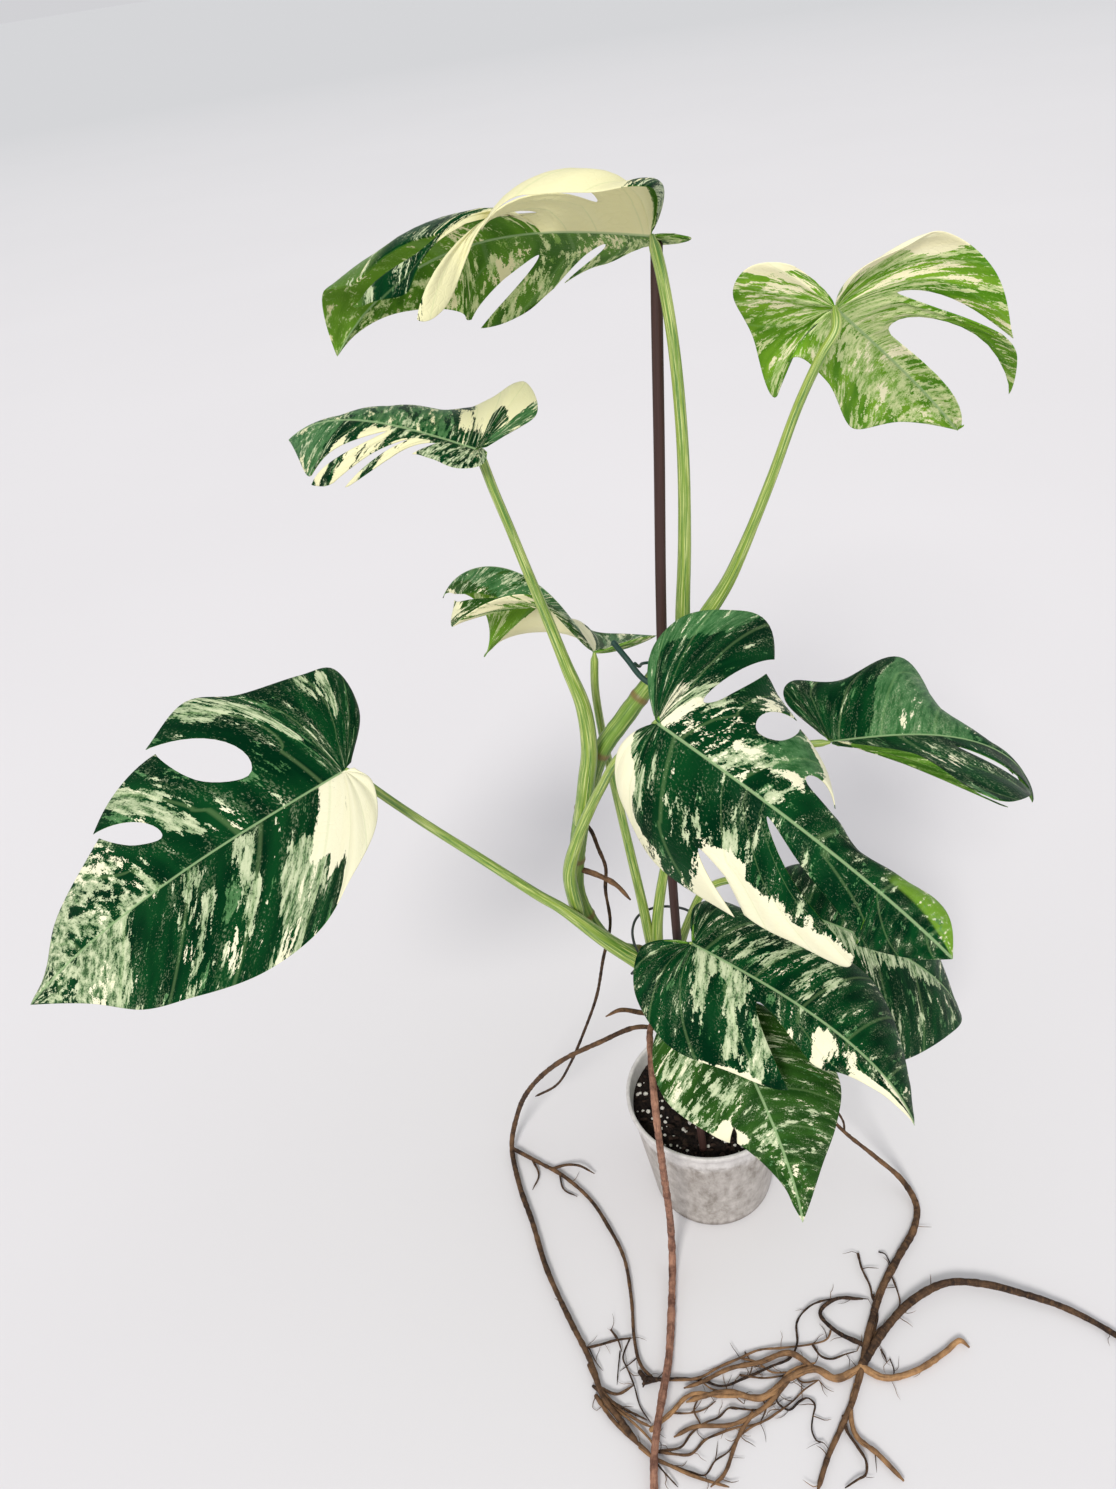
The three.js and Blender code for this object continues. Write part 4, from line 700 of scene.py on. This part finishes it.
def tube(points, radii, sides, spacing, rings=(), knobs=0.0, taper=0):
    # A tapered tube with rounded ends. Rings are raised bands, knobs are uneven swellings along it.
    centre, along = curve_through(points, spacing)
    length = along[-1]
    tangent = unit(np.gradient(centre, axis=0))
    share = along / length
    radius = np.interp(share, np.linspace(0, 1, len(radii)), radii)
    if taper:
        radius = radius * mix(TIP_RADIUS, 1, smooth((length - along) / taper))
    for place in rings:
        radius = radius + RING_HEIGHT * np.exp(-((share - place) * length / RING_WIDTH) ** 2)
    if knobs:
        bumps = rng.normal(0, 1, len(centre))
        bumps = np.convolve(bumps, [0.25, 0.5, 0.25], 'same')
        radius = radius * (1 + knobs * np.clip(bumps, -KNOB_LIMIT, KNOB_LIMIT))
    ends = []
    for k, sign in ((0, -1), (-1, 1)):
        r, steps = radius[k], END_STEPS * np.pi / 2
        reach = sign * tangent[k] * r * END_LENGTH * np.cos(steps)[:, None]
        ends.append((centre[k] + reach, r * np.sin(steps) + END_RADIUS * r))
    centre = np.vstack([ends[0][0], centre, ends[1][0][::-1]])
    radius = np.concatenate([ends[0][1], radius, ends[1][1][::-1]])
    along = np.concatenate([[0, 0, 0], along, [length] * 3])
    tangent = np.vstack([[tangent[0]] * 3, tangent, [tangent[-1]] * 3])
    normal = unit(np.cross(tangent[0], [0.3, 1, 0.1]))
    angle = around(sides)
    rows = []
    for c, d, r in zip(centre, tangent, radius):
        normal = unit(normal - d * (normal @ d))
        other = np.cross(d, normal)
        rows.append(c + normal * (np.cos(angle) * r)[:, None] + other * (np.sin(angle) * r)[:, None])
    return np.vstack(rows), ring_faces(len(rows), sides), {
        'along': np.repeat(along, sides), 'share': np.repeat(along / length, sides),
        'ax': np.tile(np.cos(angle), len(rows)), 'ay': np.tile(np.sin(angle), len(rows)),
    }


def joined(parts):
    # Several meshes as one, with what is known of their points
    verts, faces, offset = [], [], 0
    facts = {k: [] for k in parts[0][2]}
    for v, f, known in parts:
        verts.append(v)
        faces += [tuple(i + offset for i in face) for face in f]
        offset += len(v)
        for k in facts:
            facts[k].append(known[k])
    return np.vstack(verts), faces, {k: np.concatenate(v) for k, v in facts.items()}


def add_piece(name, mesh_data, material, slot, *stands_for, flat=False):
    verts, faces, facts = mesh_data
    verts = np.clip(verts, *box_mm)
    mesh = bpy.data.meshes.new(name)
    mesh.from_pydata((verts / MM).tolist(), [], [tuple(int(i) for i in f) for f in faces])
    for key, values in facts.items():
        layer = mesh.attributes.new(key, 'FLOAT', 'POINT')
        layer.data.foreach_set('value', np.asarray(values, np.float32))
    mesh.polygons.foreach_set('use_smooth', [not flat] * len(mesh.polygons))
    mesh.materials.append(material)
    piece = bpy.data.objects.new(name, mesh)
    scene.collection.objects.link(piece)
    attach(piece, 'root')
    if stands_for:
        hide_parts(*stands_for)
    return piece


# Materials
def tone(r, g, b):
    # A colour as seen on a screen, 0 to 255, as the linear colour that the shader takes
    v = np.array([r, g, b]) / 255
    v = np.where(v <= 0.04045, v / 12.92, ((v + 0.055) / 1.055) ** 2.4)
    return (*(float(x) for x in v), 1.0)


class Look:
    # A material, with short ways to build the nodes of its shader
    def __init__(self, name, roughness=0.5, specular=0.5):
        self.material = bpy.data.materials.new(name)
        self.material.use_nodes = True
        self.tree = self.material.node_tree
        self.shader = self.tree.nodes['Principled BSDF']
        self.shader.inputs['Roughness'].default_value = roughness
        self.shader.inputs['Specular IOR Level'].default_value = specular

    def put(self, socket, value):
        if isinstance(value, bpy.types.NodeSocket):
            self.tree.links.new(value, socket)
        else:
            socket.default_value = value

    def node(self, kind, values, output=0, **settings):
        node = self.tree.nodes.new('ShaderNode' + kind)
        for key, value in settings.items():
            setattr(node, key, value)
        for key, value in values.items():
            self.put(node.inputs[key], value)
        return node.outputs[output]

    def known(self, name):
        return self.node('Attribute', {}, 'Fac', attribute_name=name)

    def place(self):
        return self.node('TexCoord', {}, 'Object')

    def axes(self, x, y, z):
        return self.node('CombineXYZ', {0: x, 1: y, 2: z})

    def on_tube(self, step):
        # Places round and along a tube
        return self.axes(self.known('ax'), self.known('ay'), self.times(self.known('along'), step))

    def scaled(self, vector, factors, shift=(0, 0, 0)):
        return self.node('VectorMath', {0: vector, 1: factors, 2: shift}, operation='MULTIPLY_ADD')

    def noise(self, vector, scale=1.0, detail=3.0, rough=0.55):
        values = {'Vector': vector, 'Scale': scale, 'Detail': detail, 'Roughness': rough}
        return self.node('TexNoise', values, 'Fac')

    def sum(self, operation, a, b=0.0, c=0.0):
        return self.node('Math', {0: a, 1: b, 2: c}, operation=operation)

    def add(self, a, b):
        return self.sum('ADD', a, b)

    def times(self, a, b):
        return self.sum('MULTIPLY', a, b)

    def span(self, value, low, high, bottom=0.0, top=1.0):
        ends = {'From Min': low, 'From Max': high, 'To Min': bottom, 'To Max': top}
        return self.node('MapRange', {'Value': value, **ends})

    def blend(self, share, *colours):
        a, b = (c if isinstance(c, bpy.types.NodeSocket) else tone(*c) for c in colours)
        return self.node('Mix', {0: share, 6: a, 7: b}, 2, data_type='RGBA')

    def colour(self, value):
        self.put(self.shader.inputs['Base Color'], value)

    def rough(self, value):
        self.put(self.shader.inputs['Roughness'], value)

    def bump(self, height, strength, distance):
        bumps = self.node('Bump', {'Strength': strength, 'Distance': distance, 'Height': height})
        self.put(self.shader.inputs['Normal'], bumps)


def plain_look(name, roughness, specular, scale, detail, dark, light):
    # Small spots between two tones
    look = Look(name, roughness, specular)
    look.colour(look.blend(look.noise(look.place(), scale, detail), dark, light))
    return look.material


def leaf_look(name, seed, fresh, yellow):
    # Marbled blade: dark green, sage and cream streaks along the veins, lighter below
    look = Look(name, 0.4, 0.03)
    look.shader.inputs['Specular Tint'].default_value = (0.5, 0.85, 0.6, 1.0)
    blend, span, add, times, known = look.blend, look.span, look.add, look.times, look.known
    at = look.axes(known('q'), known('t'), times(known('side'), 5.0))

    def streak(fq, ft, shift, detail, rough):
        return look.noise(look.scaled(at, (fq, ft, 1), (shift, 0, seed)), 1.0, detail, rough)

    def uneven(noise, spread):
        return look.sum('MULTIPLY_ADD', noise, spread, -spread / 2)

    def marbling(noise, spread, colour, low, high):
        amount = add(add(uneven(noise, spread), ragged), known(colour))
        return span(amount, low, high)

    broad = streak(26, 1.5, 0, 2.0, 0.5)
    fine = streak(120, 6, 3, 5.0, 0.65)
    grain = streak(420, 50, 9, 3.0, 0.7)
    wide = streak(40, 2.2, 20, 3.0, 0.55)
    loose = streak(34, 3, 40, 2.0, 0.5)
    middle = span(broad, 0.38, 0.62)
    crisp = span(fine, 0.38, 0.62)
    ragged = add(uneven(fine, 2.6), uneven(grain, 1.2))
    under = known('under')
    # Green ground, darker above than below, and yellower where the leaf is young
    dark = blend(middle, (0, 36, 16), (8, 60, 26))
    low = blend(middle, (58, 100, 26), (92, 138, 40))
    if fresh:
        young = blend(middle, (84, 138, 26), (128, 172, 48))
        dark, low = blend(fresh, dark, young), blend(fresh, low, young)
    base = blend(under, dark, low)
    # Lime and moss green patches
    lime = times(known('lime'), 0.75)
    base = blend(lime, base, blend(fine, (96, 144, 32), (146, 188, 66)))
    moss = times(marbling(loose, 3.0, 'moss', 0.0, 0.12), 0.85)
    mossy = blend(crisp, (42, 90, 46), (86, 131, 82))
    base = blend(moss, base, blend(under, mossy, blend(fine, (104, 146, 50), (150, 184, 92))))
    # Sage, with flecks of the ground in it, also as single specks
    pale = blend(crisp, (98, 130, 84), (194, 203, 166))
    pale = blend(under, pale, blend(crisp, (150, 184, 100), (210, 218, 160)))
    flecks = span(add(grain, uneven(fine, 0.9)), 0.4, 0.46, 0.7, 0.0)
    mottled = blend(flecks, pale, base)
    speck = span(add(grain, uneven(wide, 0.7)), 0.57, 0.62, 0.0, 0.45)
    base = blend(speck, base, blend(0.4, mottled, base))
    base = blend(marbling(wide, 3.2, 'sage', 0.0, 0.05), base, mottled)
    # Cream, slightly clouded and dotted, painted brighter below as light shining through the thin blade
    light = blend(under, mix(CREAM, CREAM_YELLOW, yellow), mix(CREAM_BELOW_GLOW, CREAM_YELLOW, yellow))
    light = blend(span(wide, 0.35, 0.65, 0.0, 0.25), light, mix(CREAM_PALE, CREAM_YELLOW, yellow))
    light = blend(span(grain, 0.68, 0.76, 0.0, 0.35), light, (168, 190, 120))
    base = blend(marbling(broad, 3.4, 'cream', -0.02, 0.02), base, light)
    # Ribs and midrib
    spread = look.sum('ABSOLUTE', look.sum('SUBTRACT', look.sum('FRACT', known('vein')), 0.5))
    base = blend(span(spread, 0.012, 0.04, 0.16, 0.0), base, (150, 184, 120))
    base = blend(span(known('away'), 0.5, 1.0, 0.7, 0.0), base, (150, 178, 128))
    look.colour(base)
    look.rough(look.sum('MULTIPLY_ADD', under, 0.14, span(fine, 0.2, 0.8, 0.32, 0.44)))
    cells = {'Vector': look.scaled(at, (70, 26, 1), (0, 0, seed)), 'Scale': 1.0}
    network = look.node('TexVoronoi', cells, 'Distance', feature='DISTANCE_TO_EDGE')
    look.bump(add(span(network, 0.0, 0.12), times(fine, 0.6)), 0.25, 0.0004)
    return look.material


def stalk_look(name, base, pale, deep, marks, roughness):
    # Stalks and stem: lengthwise streaks over a green ground
    look = Look(name, roughness)
    at = look.on_tube(0.012)
    streak = look.noise(look.scaled(at, (2.4, 2.4, 1)), 1.0, 3.0, 0.6)
    thin = look.noise(look.scaled(at, (9, 9, 3.4), (4, 0, 0)), 1.0, 4.0, 0.65)
    look.ground = look.blend(look.span(streak, 0.38, 0.62), base, deep)
    look.ground = look.blend(look.span(thin, 0.5, 0.62, 0.0, marks), look.ground, pale)
    look.colour(look.ground)
    look.rough(look.span(thin, 0.3, 0.7, roughness - 0.06, roughness + 0.1))
    look.bump(thin, 0.3, 0.0005)
    return look


def root_look(name, light, dark, tan, black):
    # Bark of the roots: fine rings across, long wrinkles and dusty patches, paler or darker by strand
    look = Look(name, 0.75, 0.2)
    shade, at = look.known('shade'), look.on_tube(0.9)
    rings = look.noise(look.scaled(at, (0.7, 0.7, 1)), 1.0, 3.0, 0.6)
    patches = look.noise(look.place(), 110.0, 5.0, 0.65)
    wrinkle = look.noise(look.scaled(at, (3.2, 3.2, 0.12), (2, 0, 0)), 1.0, 3.0, 0.6)
    mottle = look.span(patches, 0.38, 0.64)
    ground = look.blend(mottle, dark, light)
    ground = look.blend(look.span(shade, 0.5, 1.0), ground, look.blend(mottle, light, tan))
    ground = look.blend(look.span(shade, 0.5, 0.0), ground, look.blend(mottle, black, dark))
    ground = look.blend(look.span(rings, 0.52, 0.64, 0.0, 0.3), ground, light)
    ground = look.blend(look.span(wrinkle, 0.54, 0.66, 0.0, 0.6), ground, black)
    look.colour(ground)
    look.bump(look.add(rings, wrinkle), 0.7, 0.0008)
    return look.material


# Leaves
for i, name in enumerate(LEAVES):
    look = leaf_look(name, 3.7 * i + 1.3, FRESH.get(name, 0.0), YELLOWER.get(name, 0.0))
    add_piece(name + '_look', leaf_mesh(name), look, 'leaf', name)

# Stalks, stem and stake
stalk = stalk_look('stalk', (140, 164, 62), (212, 218, 142), (70, 118, 44), 0.8, 0.36)
for name, (radii, points) in PETIOLES.items():
    mesh_data = tube(points, radii, sides=20, spacing=2.0, taper=5)
    add_piece(name + '_look', mesh_data, stalk.material, 'petiole', name)

stem = stalk_look('stem', (112, 146, 52), (186, 198, 118), (62, 104, 36), 0.6, 0.42)
share = stem.known('share')
band = 0.0
for place in STEM_RINGS:
    near = stem.span(stem.sum('ABSOLUTE', stem.sum('SUBTRACT', share, place)), 0.002, 0.006, 1.0, 0.0)
    band = stem.sum('MAXIMUM', band, near)
stem.colour(stem.blend(stem.times(band, 0.75), stem.ground, (122, 88, 56)))
radii, points = STEM
mesh_data = tube(points, radii, sides=24, spacing=1.2, rings=STEM_RINGS, knobs=0.02)
add_piece('main_stem_look', mesh_data, stem.material, 'stem', 'main_stem')

coating = Look('stake', 0.55, 0.35)
grain = coating.noise(coating.scaled(coating.on_tube(0.05), (5, 5, 0.6)), 1.0, 4.0, 0.6)
coating.colour(coating.blend(grain, (36, 22, 20), (74, 48, 42)))
coating.bump(grain, 0.4, 0.0005)
radii, points = STAKE
mesh_data = tube(points, radii, sides=18, spacing=6.0)
add_piece('stake_look', mesh_data, coating.material, 'stake', 'stake')

# Roots
bark = root_look('bark', (134, 101, 71), (62, 45, 34), (188, 145, 100), (28, 21, 19))
red_bark = root_look('red_bark', (168, 124, 102), (100, 68, 56), (190, 146, 100), (54, 36, 32))


def root(points, radii, shade, sides=12, spacing=1.3, knobs=0.09, taper=6):
    radii = np.array(radii) * ROOT_SLIMNESS
    verts, faces, facts = tube(points, radii, sides, spacing, knobs=knobs, taper=taper)
    verts[:, 2] = np.maximum(verts[:, 2], FLOOR_GAP)
    return verts, faces, {**facts, 'shade': np.full(len(verts), shade)}


for name, strands in ROOTS.items():
    slim = SLIMMER.get(name, 1.0)
    parts = [root(points, np.array(radii) * slim, shade) for shade, radii, points in strands]
    add_piece(name + '_look', joined(parts), red_bark if name == 'root_front' else bark, 'root', name)

# Fine strands of the tangle, laid on the floor by their places in the picture
fine_roots = []
for shade, radius, places in FINE_ROOTS:
    heights = (radius + STRAND_GAP + STRAND_WAVE * (i % 2) for i in range(len(places)))
    line = [on_floor(x, y, z) for (x, y), z in zip(np.reshape(places, (-1, 2)), heights)]
    radii = radius * STRAND_TAPER
    fine_roots.append(root(line, radii, shade, sides=8, spacing=1.6, knobs=0.16, taper=3))


def rootlet(start, thinnest, thickest):
    # Branches off at a start, wanders and lies down on the floor
    heading, length = rng.uniform(0, TURN), rng.uniform(*ROOTLET_LENGTH)
    radius = rng.uniform(thinnest, thickest)
    line = [np.array(start, float)]
    for _ in range(max(3, int(length / ROOTLET_STEP))):
        heading += rng.normal(0, ROOTLET_WANDER)
        point = line[-1] + np.array([math.cos(heading), math.sin(heading), 0]) * ROOTLET_STEP
        point[2] = max(radius + ROOTLET_GAP, line[-1][2] * ROOTLET_SINK + rng.uniform(*ROOTLET_STIR))
        line.append(point)
    shade = rng.uniform(*ROOTLET_SHADE)
    return root(line, radius * ROOTLET_TAPER, shade, sides=6, spacing=2.5, knobs=0.1, taper=2)


for _, _, places in FINE_ROOTS:
    for x, y in np.reshape(places, (-1, 2)):
        if rng.integers(0, 2):
            fine_roots.append(rootlet(on_floor(x, y, ROOTLET_HEIGHT), thinnest=0.2, thickest=0.42))
for name, share in ROOTLET_SHARE.items():
    for _, _, points in ROOTS[name]:
        line, _ = curve_through(points, 2.0)
        laid = line[(line[:, 2] < LOW) & (line[:, 1] < IN_FRONT)]
        for _ in range(int(len(laid) * share)):
            start = laid[rng.integers(len(laid))]
            fine_roots.append(rootlet(start, thinnest=0.22, thickest=0.45))
add_piece('fine_roots', joined(fine_roots), bark, 'root')

# Ties
tie_look = plain_look('tie', 0.6, 0.4, 260.0, 3.0, (12, 44, 38), (30, 70, 60))
wire_look = plain_look('wire', 0.35, 0.5, 300.0, 3.0, (22, 28, 30), (52, 60, 60))
for name, look, slot in (('tie_upper', tie_look, 'tie'), ('tie_lower', wire_look, 'wire')):
    radii, points = TIES[name]
    add_piece(name + '_look', tube(points, radii, sides=10, spacing=1.5), look, slot, name)


# Pot
def lathe(profile, sides):
    # A profile of radius and height, turned round the pot's axis
    verts = [[r * math.cos(a), r * math.sin(a), z] for r, z in profile for a in around(sides)]
    height = np.repeat([float(z) for _, z in profile], sides)
    return np.array(verts), ring_faces(len(profile), sides), {'height': height}


def wall(z):
    return mix(POT_FOOT_RADIUS, LIP_RADIUS, z / POT_HEIGHT)


foot, rim = POT_FOOT_RADIUS, POT_RIM_RADIUS
outside = [(foot - 3, 1.2), (foot - 1.8, 0.2), (foot - 0.8, 0.0), (foot, 1.0)]
outside += [(wall(z), z) for z in np.linspace(2, 88, WALL_STEPS)]
outside += [(wall(90) + 0.1, 89.6), (wall(90) + 0.5, 90.4), (wall(92) + 0.5, 92), (wall(98) + 0.4, 98)]
outside += [(wall(103.6), 103.6), (rim - 0.3, 103.9), (rim, 104.4), (rim, 107.2), (rim - 0.3, 107.8)]
outside += [(rim - 1.0, 108.0), (wall(108) - 0.6, 107.9), (wall(107) - 1.0, 107.2)]
inside = [(wall(z) - POT_WALL, z) for z in np.linspace(106, 2, WALL_STEPS)]
look = Look('pot', 0.45, 0.3)
spots = look.noise(look.scaled(look.place(), (1, 1, 0.5)), 150.0, 6.0, 0.7)
cloud = look.noise(look.scaled(look.place(), (1, 1, 0.7)), 34.0, 3.0, 0.55)
height = look.known('height')
body = look.blend(look.span(spots, 0.34, 0.66), (124, 116, 108), (186, 180, 175))
body = look.blend(look.span(cloud, 0.4, 0.7, 0.0, 0.4), body, (196, 190, 186))
upper = look.blend(look.span(spots, 0.4, 0.7), (192, 188, 186), (216, 212, 210))
ground = look.blend(look.span(look.sum('MULTIPLY_ADD', spots, 14.0, height), 92.0, 102.0), body, upper)
# Darker brown towards the bottom, fading out about 10 mm up along a ragged edge
darker_foot = look.span(look.sum('MULTIPLY_ADD', spots, 6.0, height), 3.0, 10.0, 0.8, 0.0)
look.colour(look.blend(darker_foot, ground, (84, 72, 64)))
look.rough(look.span(cloud, 0.3, 0.7, 0.42, 0.55))
look.bump(cloud, 0.25, 0.0008)
add_piece('pot_look', lathe(outside + inside, POT_SIDES), look.material, 'pot', 'pot')

# Soil: a rough dark top with pale grit and flakes of bark
look = Look('soil', 0.95, 0.2)
crumbs = look.noise(look.place(), 420.0, 5.0, 0.7)
look.colour(look.blend(look.span(crumbs, 0.4, 0.7), (8, 6, 6), (46, 34, 28)))
look.bump(crumbs, 0.9, 0.002)
soil_radius = wall(SOIL_HEIGHT) - POT_WALL - SOIL_GAP
profile = [(wall(z) - POT_WALL - SOIL_GAP, z) for z in (1.5, 20, 45, 70, 90)]
profile += [(soil_radius * r, SOIL_HEIGHT) for r in np.linspace(1, 0.02, SOIL_RINGS)]
verts, faces, facts = lathe(profile, SOIL_SIDES)


def soil_top(x, y):
    # Height of the uneven top, as low waves of three lengths
    return (SOIL_HEIGHT + 1.6 * np.sin(x * 0.21 + 1) * np.cos(y * 0.17) + 0.9 * np.sin(x * 0.5 + y * 0.43)
            + 0.5 * np.sin(x * 1.3 + 2 * np.cos(y * 0.9)) * np.cos(y * 1.1 + x * 0.4))


top = verts[:, 2] > SOIL_HEIGHT - 1
inner = smooth((SOIL_EDGE - np.hypot(verts[:, 0], verts[:, 1]) / soil_radius) / EDGE_FADE)
verts[top, 2] = mix(SOIL_HEIGHT, soil_top(verts[:, 0], verts[:, 1]), inner)[top]
verts[top, 2] += rng.normal(0, SOIL_ROUGHNESS, top.sum()) * inner[top]
add_piece('soil_look', (verts, faces, facts), look.material, 'soil', 'soil')

GRAIN_CORNERS = unit(np.array([p for p in np.ndindex(3, 3, 3) if p != (1, 1, 1)], float) - 1)


def grain_hull(centre, size, squash):
    # One grain: the hull of points spread unevenly round a centre
    points = GRAIN_CORNERS * rng.uniform(0.75, 1.1, (len(GRAIN_CORNERS), 1)) * np.array(squash) * size
    a, b = rng.uniform(0, NEAR_TURN, 2)
    turn, tilt = Matrix.Rotation(a, 3, 'Z'), Matrix.Rotation(b * GRAIN_TILT, 3, 'X')
    points = points @ np.array(turn) @ np.array(tilt) + centre
    bm = bmesh.new()
    for p in points:
        bm.verts.new(p)
    bmesh.ops.convex_hull(bm, input=bm.verts)
    bmesh.ops.delete(bm, geom=[v for v in bm.verts if not v.link_faces], context='VERTS')
    bm.verts.index_update()
    verts = np.array([v.co[:] for v in bm.verts])
    faces = [tuple(v.index for v in f.verts) for f in bm.faces]
    bm.free()
    return verts, faces, {'height': np.zeros(len(verts))}


def scattered(count, low_size, high_size, squash):
    grains = []
    for _ in range(count):
        reach, turn = GRAIN_REACH * math.sqrt(rng.uniform(0, 1)), rng.uniform(0, NEAR_TURN)
        x, y = reach * math.cos(turn), reach * math.sin(turn)
        size = rng.uniform(low_size, high_size)
        height = float(soil_top(x, y)) + size * GRAIN_RISE * squash[2]
        grains.append(grain_hull(np.array([x, y, height]), size, squash))
    return joined(grains)


grit_look = plain_look('grit', 0.9, 0.25, 600.0, 3.0, (150, 146, 140), (226, 222, 214))
flake_look = plain_look('bark_flakes', 0.9, 0.25, 500.0, 4.0, (16, 11, 10), (62, 44, 34))
add_piece('grit', scattered(190, 0.6, 2.0, (1, 0.9, 0.8)), grit_look, 'soil', flat=True)
add_piece('bark_chips', scattered(170, 1.6, 4.2, (1, 0.6, 0.4)), flake_look, 'soil', flat=True)

# Floor, light and camera. The floor is a wide disc, whose tone fades into that of the light around.
verts = [(STAGE_RADIUS * math.cos(a), STAGE_RADIUS * math.sin(a), 0) for a in around(STAGE_SIDES)]
floor_mesh = bpy.data.meshes.new('floor')
floor_mesh.from_pydata(verts, [], [tuple(range(STAGE_SIDES))])
floor = bpy.data.objects.new('floor', floor_mesh)
scene.collection.objects.link(floor)
look = Look('floor', 0.9, 0.0)
near = look.blend(look.noise(look.place(), 1.1, 3.0, 0.5), (215, 213, 215), (221, 219, 221))
apart = look.node('VectorMath', {0: look.place()}, 'Value', operation='LENGTH')
look.colour(look.blend(look.span(apart, *FADE), near, (197, 198, 200)))
floor_mesh.materials.append(look.material)

world = bpy.data.worlds.new('studio')
world.use_nodes = True
world.node_tree.nodes['Background'].inputs['Color'].default_value = SKY
world.node_tree.nodes['Background'].inputs['Strength'].default_value = SKY_STRENGTH
scene.world = world


def sun(name, direction, strength, softness, colour):
    lamp = bpy.data.lights.new(name, 'SUN')
    lamp.energy = strength
    lamp.angle = math.radians(softness)
    lamp.color = colour
    held = bpy.data.objects.new(name, lamp)
    held.rotation_euler = Vector(direction).to_track_quat('-Z', 'Y').to_euler()
    scene.collection.objects.link(held)


sun('key', (0.28, 0.72, -0.62), 2.4, 16, (1.0, 0.98, 0.94))
sun('fill', (-0.6, 0.3, -0.75), 0.35, 60, (0.93, 0.97, 1.0))

lens = bpy.data.cameras.new('camera')
lens.sensor_width = SENSOR
lens.lens = LENS
lens.clip_start, lens.clip_end = CLIP
camera = bpy.data.objects.new('camera', lens)
turned = Matrix((ACROSS, -BELOW, -AHEAD)).transposed().to_4x4()
turned.translation = Vector(EYE / MM)
camera.matrix_world = turned
scene.collection.objects.link(camera)
scene.camera = camera
scene.view_settings.view_transform = 'Standard'

bpy.context.view_layer.update()
